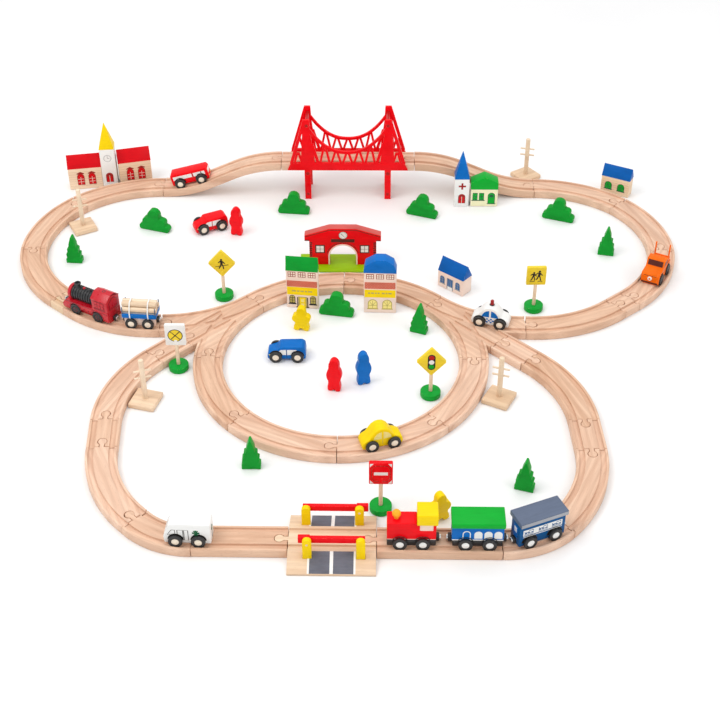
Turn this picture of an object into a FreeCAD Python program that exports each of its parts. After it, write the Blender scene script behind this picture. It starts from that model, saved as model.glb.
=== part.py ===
import FreeCAD, Part
import math
import os

os.makedirs("parts", exist_ok=True)
V = FreeCAD.Vector

# ---------------------------------------------------------------- dimensions
OX, OY = 0.0, -65.555       # layout offset: the bounding-box centre sits on the origin

TRACK_W = 40.0               # rail board width
TRACK_H = 12.0               # rail board thickness
GROOVE_C = 13.0              # groove centre from the board centre
GROOVE_W = 7.0
GROOVE_D = 3.0
EDGE_C = 0.8                 # chamfer on the upper long edges
R_BIG = 182.0                # large curve, centre line
R_SMALL = 101.0              # small curve, centre line
GAP = 0.8                    # play between neighbouring boards
PEG_L = 16.0                 # peg length from the end face
PEG_R = 5.6                  # peg head radius
PEG_N = 2.8                  # peg neck half width
PLAY = 0.8                   # play around a peg

SW_LEN = 128.0               # straight leg of the three-way switch
LOW_1 = 53.0                 # short straight after the switch
LOW_2 = 53.0                 # short straight, left side
LOW_2R = 55.75               # short straight, right side
ADAPTER = 28.0               # shortest straight in both upper lobes
LOBE_KINK = (-3.0, -2.0, 0.0, 2.0, 3.0)
LOWL_KINK = (1.5, 2.0, 1.0, -1.5, -3.0)
LOWR_KINK = (1.0, 1.5, 0.0, -1.0, -1.5)

RISE = 50.0                  # deck height above the floor track
DECK_X = 106.5               # half length of the bridge deck

CROSS_L = 103.0              # level crossing length along the track
CROSS_Y = -343.46            # centre line of the lower straight
CROSS_HALF = 47.5            # crossing half depth
CROSS_X = -52.3              # left end of the crossing
STR_L = 112.0                # left lower straight
STR_R = 145.5                # right lower straight

WHEEL_R = 8.5
WHEEL_Y0 = 10.9              # inner wheel face
WHEEL_W = 4.2
AXLE_R = 1.7
BORE_R = 1.8
BODY_Y = 10.2                # half width of a car body between its wheels


def rad(a):
    return a * math.pi / 180.0


# ------------------------------------------------------------------- helpers
def box(x0, x1, y0, y1, z0, z1):
    return Part.makeBox(x1 - x0, y1 - y0, z1 - z0, V(x0, y0, z0))


def cyl(p, d, r, h):
    return Part.makeCylinder(r, h, V(*p), V(*d))


def cylz(x, y, z0, z1, r):
    return cyl((x, y, z0), (0, 0, 1), r, z1 - z0)


def cyly(x, z, y0, y1, r):
    return cyl((x, y0, z), (0, 1, 0), r, y1 - y0)


def cylx(y, z, x0, x1, r):
    return cyl((x0, y, z), (1, 0, 0), r, x1 - x0)


def prism_xz(pts, y0, y1):
    w = Part.makePolygon([V(x, y0, z) for x, z in pts] + [V(pts[0][0], y0, pts[0][1])])
    return Part.Face(w).extrude(V(0, y1 - y0, 0))


def prism_yz(pts, x0, x1):
    w = Part.makePolygon([V(x0, y, z) for y, z in pts] + [V(x0, pts[0][0], pts[0][1])])
    return Part.Face(w).extrude(V(x1 - x0, 0, 0))


def prism_xy(pts, z0, z1):
    w = Part.makePolygon([V(x, y, z0) for x, y in pts] + [V(pts[0][0], pts[0][1], z0)])
    return Part.Face(w).extrude(V(0, 0, z1 - z0))


def fuse(shapes):
    s = shapes[0]
    if len(shapes) > 1:
        s = s.multiFuse(shapes[1:])
    return s.removeSplitter()


def cut(s, tools):
    for t in tools:
        s = s.cut(t)
    return s


def put(s, x, y, a=0.0, z=0.0, pitch=0.0):
    rot = FreeCAD.Rotation(V(0, 0, 1), a).multiply(FreeCAD.Rotation(V(0, 1, 0), -pitch))
    t = s.copy()
    t.Placement = FreeCAD.Placement(V(x + OX, y + OY, z), rot).multiply(s.Placement)
    return t


def one(s):
    sol = s.Solids
    if len(sol) == 1:
        return sol[0]
    raise RuntimeError("expected one solid, found %d" % len(sol))


def fillet(s, r, test):
    edges = [e for e in s.Edges if test(e)]
    if not edges:
        return s
    try:
        t = s.makeFillet(r, edges)
        if t.isValid() and t.Volume > 0:
            return t
    except Exception:
        pass
    return s


def export(name, solids):
    for s in solids:
        if not s.isValid():
            print("invalid solid in", name)
    c = Part.makeCompound(solids)
    c.exportStep("parts/%s.step" % name)


# -------------------------------------------------------------- track boards
def board_pts():
    h, c, w = TRACK_H, EDGE_C, TRACK_W / 2
    gi, go, gz = GROOVE_C - GROOVE_W / 2, GROOVE_C + GROOVE_W / 2, TRACK_H - GROOVE_D
    return [(-w, 0), (w, 0), (w, h - c), (w - c, h), (go, h), (go, gz), (gi, gz), (gi, h),
            (-gi, h), (-gi, gz), (-go, gz), (-go, h), (-w + c, h), (-w, h - c)]


def slab_pts():
    h, c, w = TRACK_H, EDGE_C, TRACK_W / 2
    return [(-w, 0), (w, 0), (w, h - c), (w - c, h), (-w + c, h), (-w, h - c)]


def groove_pts(s):
    gi, go, gz = GROOVE_C - GROOVE_W / 2, GROOVE_C + GROOVE_W / 2, TRACK_H - GROOVE_D
    return [(s * gi, gz), (s * go, gz), (s * go, TRACK_H + 2), (s * gi, TRACK_H + 2)]


def sweep(pts, kind, val, x0=0.0, ext=0.0):
    """Sweep a section from a frame at the origin heading +X."""
    w = Part.makePolygon([V(x0, y, z) for y, z in pts] + [V(x0, pts[0][0], pts[0][1])])
    f = Part.Face(w)
    if kind == "s":
        return f.extrude(V(val + ext, 0, 0))
    ang, r = val
    sg = 1 if ang > 0 else -1
    return f.revolve(V(0, sg * r, 0), V(0, 0, 1), ang)


def turn(p, h, da, r):
    s = 1 if da > 0 else -1
    h1 = h + da
    return (p[0] + s * r * (math.sin(rad(h1)) - math.sin(rad(h))),
            p[1] - s * r * (math.cos(rad(h1)) - math.cos(rad(h)))), h1


def fwd(p, h, l):
    return (p[0] + l * math.cos(rad(h)), p[1] + l * math.sin(rad(h))), h


def end_frame(kind, val):
    return fwd((0, 0), 0, val) if kind == "s" else turn((0, 0), 0, val[0], val[1])


def peg():
    c = PEG_L - PEG_R
    return box(-1.0, c, -PEG_N, PEG_N, 0, TRACK_H).fuse(cylz(c, 0, 0, TRACK_H, PEG_R)).removeSplitter()


def socket():
    c = PEG_L - PEG_R - GAP
    n, r = PEG_N + PLAY, PEG_R + PLAY
    return box(-1.0, c, -n, n, -1, TRACK_H + 1).fuse(cylz(c, 0, -1, TRACK_H + 1, r)).removeSplitter()


def at(s, p, h, z=0.0):
    t = s.copy()
    t.Placement = FreeCAD.Placement(V(p[0], p[1], z), FreeCAD.Rotation(V(0, 0, 1), h)).multiply(s.Placement)
    return t


def board(kind, val, male_end):
    """male_end True: peg on the far end, socket on the near end; False: reversed."""
    s = sweep(board_pts(), kind, val)
    e, h = end_frame(kind, val)
    if male_end:
        s = s.fuse(at(peg(), e, h)).cut(socket())
    else:
        s = s.fuse(at(peg(), (0, 0), 180)).cut(at(socket(), e, h + 180))
    return one(s.removeSplitter())


def switch(stem_male):
    paths = [("s", SW_LEN), ("c", (45.0, R_BIG)), ("c", (-45.0, R_BIG))]
    s = fuse([sweep(slab_pts(), k, v) for k, v in paths])
    for k, v in paths:
        for sg in (1, -1):
            s = s.cut(sweep(groove_pts(sg), k, v))
    ends = [((0, 0), 180)] + [end_frame(k, v) for k, v in paths]
    for i, (p, h) in enumerate(ends):
        male = stem_male if i == 0 else not stem_male
        if male:
            s = s.fuse(at(peg(), p, h))
        else:
            s = s.cut(at(socket(), p, h + 180))
    return one(s.removeSplitter())


DOCK = {}


def chain(start, head, specs, kinks, male_end, tag):
    out = []
    p, h = start, head
    for i, ((kind, val), k) in enumerate(zip(specs, kinks)):
        h = h + k
        p, _ = fwd(p, h, max(GAP, TRACK_W / 2 * math.tan(rad(abs(k))) + 0.25))
        out.append((kind, put(board(kind, val, male_end), p[0], p[1], h)))
        DOCK["%s%d" % (tag, i + 1)] = (p, h, kind, val)
        p, h = fwd(p, h, val) if kind == "s" else turn(p, h, val[0], val[1])
    DOCK[tag + "end"] = (p, h)
    return out


def ring_board(a0, a1):
    """Large-circle board between two angles, peg on the lower-angle end."""
    d = math.degrees(GAP / 2 / R_BIG)
    lo = d * (2 if a0 == 45 else 1) if a0 != 180 else 2 * d
    hi = d * (2 if a1 in (135, 360) else 1)
    ang = (a1 - a0) - lo - hi
    b = board("c", (ang, R_BIG), False)
    aa = a0 + lo
    return put(b, R_BIG * math.cos(rad(aa)), R_BIG * math.sin(rad(aa)), aa + 90)


curves_ring = [ring_board(a, a + 45) for a in (45, 90, 180, 225, 270, 315)]
S = (R_BIG * math.cos(rad(45)), R_BIG * math.sin(rad(45)))
switch_r = put(switch(False), S[0], S[1], -45)
switch_l = put(switch(True), -S[0], S[1], 225)

big_l, big_r, small_l, small_r = ("c", (45.0, R_BIG)), ("c", (-45.0, R_BIG)), ("c", (45.0, R_SMALL)), ("c", (-45.0, R_SMALL))
e, h = turn(S, -45, 45, R_BIG)
lobe_r = chain(e, h, [big_l, ("s", ADAPTER), big_l, big_l, big_l], LOBE_KINK, True, "lobeR")
e, h = turn((-S[0], S[1]), 225, -45, R_BIG)
lobe_l = chain(e, h, [big_r, ("s", ADAPTER), big_r, big_r, big_r], [-k for k in LOBE_KINK], False, "lobeL")
e, h = fwd(S, -45, SW_LEN)
low_r = chain(e, h, [("s", LOW_1), big_r, ("s", LOW_2R), big_r, small_r], LOWR_KINK, True, "lowR")
e, h = fwd((-S[0], S[1]), 225, SW_LEN)
low_l = chain(e, h, [("s", LOW_1), big_l, ("s", LOW_2), big_l, small_l], LOWL_KINK, False, "lowL")

export("ring_curves", curves_ring)
export("switch_left", [switch_l])
export("switch_right", [switch_r])
export("lobe_curves_right", [s for k, s in lobe_r if k == "c"])
export("lobe_curves_left", [s for k, s in lobe_l if k == "c"])
export("lower_curves_right", [s for k, s in low_r if k == "c"])
export("lower_curves_left", [s for k, s in low_l if k == "c"])

straights = [s for k, s in lobe_r + lobe_l + low_r + low_l if k == "s"]
straights.append(put(board("s", STR_R, True), CROSS_X + CROSS_L + GAP + STR_R, CROSS_Y, 180))
straights.append(put(board("s", STR_L, True), CROSS_X - GAP, CROSS_Y, 180))
export("straight_tracks", straights)


# ------------------------------------------------------------ ramps and deck
RAMP_A = 24.0                # steepest slope of the ramp


def ramp(length):
    """Low end at the origin, high end at +X: an arc, a straight and an arc."""
    t = rad(RAMP_A)

    def path(d):
        r1, r2 = RAMP_R - d, RAMP_R + d
        c1, c2 = V(0, 0, RAMP_R + TRACK_H / 2), V(length, 0, RISE + TRACK_H / 2 - RAMP_R)

        def a(u):
            return c1 + V(r1 * math.sin(u), 0, -r1 * math.cos(u))

        def b(u):
            return c2 + V(-r2 * math.sin(u), 0, r2 * math.cos(u))
        return [Part.Arc(a(0), a(t / 2), a(t)).toShape(), Part.makeLine(a(t), b(t)), Part.Arc(b(t), b(t / 2), b(0)).toShape()], a(0), b(0)

    def band(z0, z1, y0, y1):
        lo, la, lb = path(z0 - TRACK_H / 2)
        hi, ha, hb = path(z1 - TRACK_H / 2)
        w = Part.Wire(Part.__sortEdges__(lo + [Part.makeLine(lb, hb)] + hi + [Part.makeLine(ha, la)]))
        f = Part.Face(w)
        f.translate(V(0, y0, 0))
        return f.extrude(V(0, y1 - y0, 0))
    s = band(0, TRACK_H, -TRACK_W / 2, TRACK_W / 2)
    for sg in (1, -1):
        y0, y1 = sg * GROOVE_C - GROOVE_W / 2, sg * GROOVE_C + GROOVE_W / 2
        s = s.cut(band(TRACK_H - GROOVE_D, TRACK_H + 2, y0, y1))
    return s


LOBE_X = DOCK["lobeRend"][0][0]
TOP_Y = DOCK["lobeRend"][0][1]
RAMP_L = LOBE_X - DECK_X - GAP * 1.5
RAMP_R = (RAMP_L * math.sin(rad(RAMP_A)) - RISE * math.cos(rad(RAMP_A))) / (2 * (1 - math.cos(rad(RAMP_A))))
ramp_r = ramp(RAMP_L)
ramp_r = ramp_r.fuse(at(peg(), (RAMP_L, 0), 0, RISE)).cut(socket())
ramp_l = ramp(RAMP_L)
ramp_l = ramp_l.fuse(at(peg(), (0, 0), 180, 0)).cut(at(socket(), (RAMP_L, 0), 180, RISE))
export("ramp_tracks", [put(one(ramp_l), -LOBE_X + GAP, TOP_Y, 0), put(one(ramp_r), LOBE_X - GAP, TOP_Y, 180)])
export("bridge_deck", [put(board("s", 2 * DECK_X - GAP, True), DECK_X - GAP / 2, TOP_Y, 180, RISE)])

# --------------------------------------------------------------- red trusses
PANEL_T = 4.2
PANEL_Y = TRACK_W / 2 + 0.4
LEG_X, LEG_W = 64.0, 10.0
TOWER_Z = 142.5
TIE_Z = 132.5
CHORD_Z0, CHORD_Z1 = 53.0, 66.0
CHORD_X = 96.0


def strip(pts, t, y0, y1):
    """Flat strip of width t following a polyline in the XZ plane."""
    n = len(pts)
    up, dn = [], []
    for i, (x, z) in enumerate(pts):
        a = pts[max(i - 1, 0)]
        b = pts[min(i + 1, n - 1)]
        dx, dz = b[0] - a[0], b[1] - a[1]
        l = math.hypot(dx, dz)
        nx, nz = -dz / l, dx / l
        up.append((x + nx * t / 2, z + nz * t / 2))
        dn.append((x - nx * t / 2, z - nz * t / 2))
    return prism_xz(up + dn[::-1], y0, y1)


def truss():
    y0, y1 = 0.0, PANEL_T
    parts = [prism_xz([(-CHORD_X, CHORD_Z0), (CHORD_X, CHORD_Z0), (CHORD_X - 6, CHORD_Z1), (-CHORD_X + 6, CHORD_Z1)], y0, y1)]
    cable = []
    for i in range(25):
        x = -60.0 + 120.0 * i / 24
        cable.append((x, 84.5 + 40.0 * (abs(x) / 60.0) ** 2.3))
    parts.append(strip(cable, 4.2, y0, y1))
    for sg in (-1, 1):
        parts.append(box(sg * LEG_X - LEG_W / 2, sg * LEG_X + LEG_W / 2, y0, y1, 0, CHORD_Z1))
        tower = [(LEG_X - 13, 60), (LEG_X + 11, 60), (LEG_X + 5.5, TOWER_Z), (LEG_X - 4.5, TOWER_Z), (LEG_X - 6, 115)]
        tower = [(sg * x, z) for x, z in tower]
        parts.append(prism_xz(tower if sg > 0 else tower[::-1], y0, y1))
        brace = [(sg * (LEG_X + 3.4), TOWER_Z - 2.0), (sg * 89.6, 64.5)]
        parts.append(strip(brace, 5.0, y0, y1))
        parts.append(strip([(sg * 72.5, 65.0), (sg * 77.6, 84.0)], 3.2, y0, y1))
        parts.append(strip([(sg * 84.5, 65.0), (sg * 79.4, 84.0)], 3.2, y0, y1))
        parts.append(strip([(sg * 46.6, 65.0), (sg * 56.4, 100.0)], 4.4, y0, y1))
    for cx, top in ((-36, 96), (-18, 87), (0, 85), (18, 87), (36, 96)):
        lean = 7.6
        parts.append(strip([(cx - lean, 65.0), (cx - 1.2, top)], 3.3, y0, y1))
        parts.append(strip([(cx + lean, 65.0), (cx + 1.2, top)], 3.3, y0, y1))
    s = parts[0].multiFuse(parts[1:]).removeSplitter()
    tools = []
    for sg in (-1, 1):
        tools.append(cyly(sg * LEG_X, TIE_Z, -1, PANEL_T + 1, 2.6))
        tools.append(cyly(sg * LEG_X, 46.9, -1, PANEL_T + 1, 3.1))
        tools.append(cyly(sg * LEG_X, 9.0, -1, PANEL_T + 1, 2.6))
    return one(cut(s, tools))


tr = truss()
panel_f = put(tr, 0, TOP_Y - PANEL_Y - PANEL_T, 0)
panel_b = put(tr, 0, TOP_Y + PANEL_Y, 0)
export("bridge_trusses", [panel_f, panel_b])
ties = []
for sg in (-1, 1):
    yy = PANEL_Y + PANEL_T
    ties.append(put(cyly(sg * LEG_X, TIE_Z, -yy, yy, 2.5), 0, TOP_Y))
    ties.append(put(cyly(sg * LEG_X, 46.9, -yy, yy, 3.0), 0, TOP_Y))
    ties.append(put(cyly(sg * LEG_X, 9.0, -yy, yy, 2.5), 0, TOP_Y))
export("bridge_cross_ties", ties)

# ------------------------------------------------------------ level crossing
CX = CROSS_X + CROSS_L / 2
POST_Y, POST_W, POST_T, POST_TOP = 26.0, 10.6, 6.4, 38.0
POST_X = {(-1, 1): -31.5, (1, 1): 31.5, (-1, -1): -28.2, (1, -1): 33.8}   # (end, side): place along the track
PIVOT_Z = 31.0
ARM_Z0, ARM_Z1, ARM_T = 27.0, 35.0, 5.0

pts = [(-CROSS_HALF, 0), (CROSS_HALF, 0), (CROSS_HALF, 2.5)] + \
      [(TRACK_W / 2, TRACK_H)] + [p for p in board_pts()[4:12]] + [(-TRACK_W / 2, TRACK_H), (-CROSS_HALF, 2.5)]
base = prism_yz(pts, 0, CROSS_L)
base = base.fuse(at(peg(), (0, 0), 180)).cut(at(socket(), (CROSS_L, 0), 180))
for sx in (-1, 1):
    for sy in (-1, 1):
        px = CROSS_L / 2 + POST_X[(sx, sy)]
        base = base.cut(box(px - POST_W / 2 - 0.1, px + POST_W / 2 + 0.1,
                            sy * POST_Y - POST_T / 2 - 0.1, sy * POST_Y + POST_T / 2 + 0.1, 4.0, 20))
export("crossing_base", [put(one(base.removeSplitter()), CROSS_X, CROSS_Y)])


def post(bore):
    r = POST_W / 2
    s = box(-r, r, -POST_T / 2, POST_T / 2, 4.0, POST_TOP - r).fuse(cyly(0, POST_TOP - r, -POST_T / 2, POST_T / 2, r)).removeSplitter()
    if bore:
        s = s.cut(cyly(0, PIVOT_Z, -9, 9, 1.6))
    return one(s)


posts = []
for sx in (-1, 1):
    for sy in (-1, 1):
        posts.append(put(post(sx * sy > 0), CX + POST_X[(sx, sy)], CROSS_Y + sy * POST_Y))
export("gate_posts", posts)


def gate(sx):
    """Arm in its own frame: pivot at x=0, arm reaching towards -sx, weight on the +sx side."""
    bar = box(*sorted((-67.0 * sx, -3.5 * sx)), -ARM_T / 2, ARM_T / 2, ARM_Z0, ARM_Z1)
    weight = box(*sorted((-3.5 * sx, 10.5 * sx)), -ARM_T / 2, ARM_T / 2 + 0.8, ARM_Z0 - 0.6, ARM_Z1 + 1.0)
    weight = fillet(weight, 0.8, lambda e: True).cut(cyly(0, PIVOT_Z, -9, 9, 1.5))
    return one(bar), one(weight)


bar, weight = gate(1)
ya = CROSS_Y + POST_Y + POST_T / 2 + 0.8 + ARM_T / 2
pin = cyly(0, PIVOT_Z, -ARM_T / 2 - 0.8 - POST_T - 0.6, ARM_T / 2, 1.5)
px = CX + POST_X[(1, 1)]
export("gate_arm_rear", [put(bar, px, ya), put(weight, px, ya), put(pin, px, ya)])
bar, weight = gate(-1)
ya = CROSS_Y - POST_Y + POST_T / 2 + 0.8 + ARM_T / 2
pin = cyly(0, PIVOT_Z, -ARM_T / 2 - 0.8 - POST_T - 0.6, ARM_T / 2, 1.5)
px = CX + POST_X[(-1, -1)]
export("gate_arm_front", [put(bar, px, ya), put(weight, px, ya), put(pin, px, ya)])

# ------------------------------------------------------------------- station
ST_X, ST_Y, ST_T, PLATE_T = -3.0, 240.0, 13.0, 3.5
plate = box(-65, 65, -22.5, 22.5, 0, PLATE_T)
plate = fillet(plate, 1.0, lambda e: abs(e.Vertexes[0].Z - PLATE_T) < 1e-6 and abs(e.Vertexes[-1].Z - PLATE_T) < 1e-6)
export("station_base", [put(one(plate), ST_X, ST_Y)])
st = prism_xz([(-50, 0), (50, 0), (50, 42), (57, 42), (57, 52), (20, 64), (-20, 64), (-57, 52), (-57, 42), (-50, 42)], -ST_T / 2, ST_T / 2)
st = st.cut(box(-19.5, 19.5, -20, 20, -1, 15)).cut(cyly(0, 15.0, -20, 20, 19.5))
export("station_building", [put(one(st), ST_X, ST_Y, 0, PLATE_T)])

# --------------------------------------------------------------- town blocks
blocks = []


def block(w, d, he, hr, kind):
    """Front-left foot at the origin, front along +X, depth along +Y."""
    if kind == "gx":
        s = prism_yz([(0, 0), (d, 0), (d, he), (d / 2, hr), (0, he)], 0, w)
    elif kind == "gy":
        m = he + (hr - he) * 0.55
        s = prism_xz([(0, 0), (w, 0), (w, m), (w / 2, hr), (0, m)], 0, d)
    elif kind == "gam":
        s = prism_xz([(0, 0), (w, 0), (w, he + 2), (w - 4, hr - 7), (w * 0.66, hr), (w * 0.36, hr), (2, hr - 9), (0, he + 2)], 0, d)
    elif kind == "pyr":
        s = box(0, w, 0, d, 0, he)
        tip = V(w / 2, d / 2, hr)
        c = [V(0, 0, he), V(w, 0, he), V(w, d, he), V(0, d, he)]
        faces = [Part.Face(Part.makePolygon(c + [c[0]]))]
        for i in range(4):
            faces.append(Part.Face(Part.makePolygon([c[i], c[(i + 1) % 4], tip, c[i]])))
        s = s.fuse(Part.makeSolid(Part.makeShell(faces))).removeSplitter()
    else:
        s = box(0, w, 0, d, 0, hr)
    return one(s)


TOWN = (  # width, depth, eave, ridge, kind, x, y, angle
    (46, 10, 64, 86, "gx", -81.5, 130, -6),
    (46, 18, 70, 90, "gam", 30, 118, -2),
    (54, 24, 38, 58, "gx", -457, 451.5, 10),
    (24, 22, 69.5, 114, "pyr", -403.6, 461, 6),
    (53, 24, 40, 60, "gx", -376.3, 466.9, 14.5),
    (23, 22, 50, 96.5, "pyr", 170.5, 405, 0),
    (43, 20, 31, 53, "gy", 196.5, 405, 0),
    (47, 18, 30, 48, "gx", 409.5, 453, -27),
    (46, 21, 27, 47, "gx", 138, 187, -40),
)
for w, d, he, hr, kind, x, y, a in TOWN:
    blocks.append(put(block(w, d, he, hr, kind), x, y, a))
export("town_blocks", blocks)


# --------------------------------------------------------------------- trees
def bush():
    t = 6.0
    s = [box(-20, 20, -t, t, 0, 9), cyly(-20, 5.2, -t, t, 5.2), cyly(20, 5.2, -t, t, 5.2),
         box(-14, 14, -t, t, 8, 21), cyly(-13.5, 15.5, -t, t, 6.0), cyly(13.5, 15.5, -t, t, 6.0),
         box(-8, 8, -t, t, 20, 28), cyly(0, 27.0, -t, t, 9.5)]
    s = s[0].multiFuse(s[1:])
    return one(s.removeSplitter().common(box(-40, 40, -10, 10, 0, 60)))


def pine():
    r = [(12, 0), (12, 7), (10, 8.5), (11, 16), (8.2, 17.5), (8.6, 25), (5.6, 26.5), (5.2, 33), (1.2, 45.5)]
    pts = r + [(-x, z) for x, z in r[::-1]]
    return prism_xz(pts, -6.0, 6.0)


BUSHES = ((-300.5, 335, -18), (-85, 386, -6), (119, 379, -20), (333.5, 369, -20), (-9.0, 114, -10))
PINES = ((-411.5, 245, -4), (396, 272, -12), (108.5, 74, -20), (-106.5, -208, 1), (232, -243, -17))
trees = [put(bush(), x, y, a) for x, y, a in BUSHES] + [put(pine(), x, y, a) for x, y, a in PINES]
export("trees", trees)

# --------------------------------------------------------------------- signs
SIGNS = (  # kind, x, y, angle, board centre height
    ("diamond", -175, 154, 0, 60), ("square", 274, 129, 2, 58.5), ("square_x", -221.6, -13.2, 0, 58.5),
    ("diamond", 121, -66.5, 0, 57.5), ("square_s", 55.6, -281.6, 0, 60.5))
SIGN_H = {"diamond": 22.6, "square": 15.0, "square_x": 17.0, "square_s": 17.0}    # half height
SIGN_W = {"diamond": 19.8, "square": 13.8, "square_x": 13.8, "square_s": 14.2}    # half width
stands, boards_ = [], []
for kind, x, y, a, zc in SIGNS:
    b = Part.makeCone(13.2, 13.6, 1.2, V(0, 0, 0)).fuse(cylz(0, 0, 1.2, 7.4, 13.6)).fuse(Part.makeCone(13.6, 12.8, 0.8, V(0, 0, 7.4))).removeSplitter()
    b = b.cut(cylz(0, 0, 2.0, 20, 2.5))
    stands.append(put(one(b), x, y))
    half, hw = SIGN_H[kind], SIGN_W[kind]
    stands.append(put(cylz(0, 0, 2.0, zc - half + 7.0, 2.5), x, y))
    if kind == "diamond":
        s = prism_xz([(0, -half), (hw, 0), (0, half), (-hw, 0)], -2.5, 2.5)
    else:
        s = box(-hw, hw, -2.5, 2.5, -half, half)
    s.translate(V(0, 0, zc))
    s = box(-30, 30, -3.6, 3.6, 0, 200).common(s)
    # the post ends in a blind hole that opens on the lower edge of a thicker boss
    s = s.fuse(cylz(0, 0, zc - half + 2.5, zc - half + 10.0, 3.4)).removeSplitter()
    s = s.cut(cylz(0, 0, zc - half - 5.0, zc - half + 7.0, 2.55))
    s = sorted(s.Solids, key=lambda q: q.Volume)[-1]
    boards_.append(put(s, x, y, a))
export("sign_stands", stands)
export("sign_boards", boards_)

# ----------------------------------------------------------- telegraph poles
POLES = ((-415, 336, 28, 14), (292, 497, 35, -12), (-257, -85, -15, 18), (211.5, -75, -27, -17))
MAST_Z, RUNG_Z = 71.0, (42.0, 53.0)
poles = []
for x, y, a, b in POLES:
    s = box(-18, 18, -18, 18, 0, 7)
    s = fillet(s, 1.2, lambda e: abs(e.Vertexes[0].Z - 7) < 1e-6 and abs(e.Vertexes[-1].Z - 7) < 1e-6)
    s = s.cut(cylz(0, 0, 2.0, 20, 3.6))
    poles.append(put(one(s), x, y, a))
    m = cylz(0, 0, 2.0, MAST_Z, 3.5)
    for z in RUNG_Z:
        m = m.cut(cylx(0, z, -20, 20, 1.3))
    poles.append(put(one(m), x, y, b))
    for z in RUNG_Z:
        poles.append(put(cylx(0, z, -11.5, 11.5, 1.2), x, y, b))
export("telegraph_poles", poles)


# ------------------------------------------------------------------- figures
def person(h):
    k = h / 50.0
    t = 5.0
    pts = [(8.5, 0), (2, 0), (1.2, 2.4), (-1.2, 2.4), (-2, 0), (-8.5, 0), (-8.8, 6), (-7.2, 15), (-9.8, 20), (-10.4, 26), (-8.6, 32), (-6.6, 35.5),
           (-7.2, 38), (-6.6, 44), (-3.6, 48.4), (0, 50), (3.6, 48.4), (6.6, 44), (7.2, 38), (6.6, 35.5), (8.6, 32), (10.4, 26), (9.8, 20), (7.2, 15), (8.8, 6)]
    return prism_xz([(x, z * k) for x, z in pts][::-1], -t, t)


def child(h):
    k = h / 44.0
    t = 5.0
    pts = [(11.0, 0), (3.4, 0), (2.0, 4.5), (-2.0, 4.5), (-3.4, 0), (-11.0, 0), (-10.6, 8), (-8.0, 14.5), (-12.6, 18.5), (-13.2, 24), (-10.8, 28.5), (-6.2, 30),
           (-6.6, 36), (-4.8, 41.5), (0, 44), (4.8, 41.5), (6.6, 36), (6.2, 30), (10.8, 28.5), (13.2, 24), (12.6, 18.5), (8.0, 14.5), (10.6, 8)]
    return prism_xz([(x, z * k) for x, z in pts][::-1], -t, t)


PEOPLE = (("p", 48, -171, 322.5, -14), ("p", 52, -7, -55.5, -11), ("p", 52, 31.5, -41, 16), ("c", 39, -57.5, 78, -10), ("c", 43, 126, -297, 28))
people = []
for k, hh, x, y, a in PEOPLE:
    people.append(put(one(person(hh) if k == "p" else child(hh)), x, y, a))
export("people_figures", people)


# ------------------------------------------------------------------ vehicles
def wheelset():
    """Axle on the origin along Y; wheels, axle and hub caps are separate solids."""
    axle = cyly(0, 0, -WHEEL_Y0 - WHEEL_W + 1.0, WHEEL_Y0 + WHEEL_W - 1.0, AXLE_R)
    out = [axle]
    for sg in (-1, 1):
        y0, y1 = sorted((sg * WHEEL_Y0, sg * (WHEEL_Y0 + WHEEL_W)))
        w = cyly(0, 0, y0, y1, WHEEL_R)
        w = fillet(w, 0.7, lambda e: isinstance(e.Curve, Part.Circle) and e.Curve.Radius > WHEEL_R - 0.01)
        w = w.cut(cyly(0, 0, y0 - 1, y1 + 1, AXLE_R))
        yo = sg * (WHEEL_Y0 + WHEEL_W)
        a, b = sorted((yo - sg * 1.0, yo + sg * 1.0))
        w = w.cut(cyly(0, 0, a, b, 4.6))
        out.append(one(w))
        a, b = sorted((yo - sg * 1.0, yo - sg * 0.1))
        cap = cyly(0, 0, a, b, 4.6)
        out.append(one(cap))
    return out


def bored(s, wb, zc=WHEEL_R):
    for x in (-wb / 2, wb / 2):
        s = s.cut(cyly(x, zc, -40, 40, BORE_R))
    return s


def magnet(x, sg, z=8.5):
    """Coupler block and magnet disc on an end face at x, facing sg."""
    a, b = sorted((x, x + sg * 4.0))
    c = box(a, b, -4.0, 4.0, z - 3.6, z + 3.6)
    m = cylx(0, z, *sorted((x + sg * 4.0, x + sg * 6.2)), 3.4)
    return [c, m]


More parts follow.
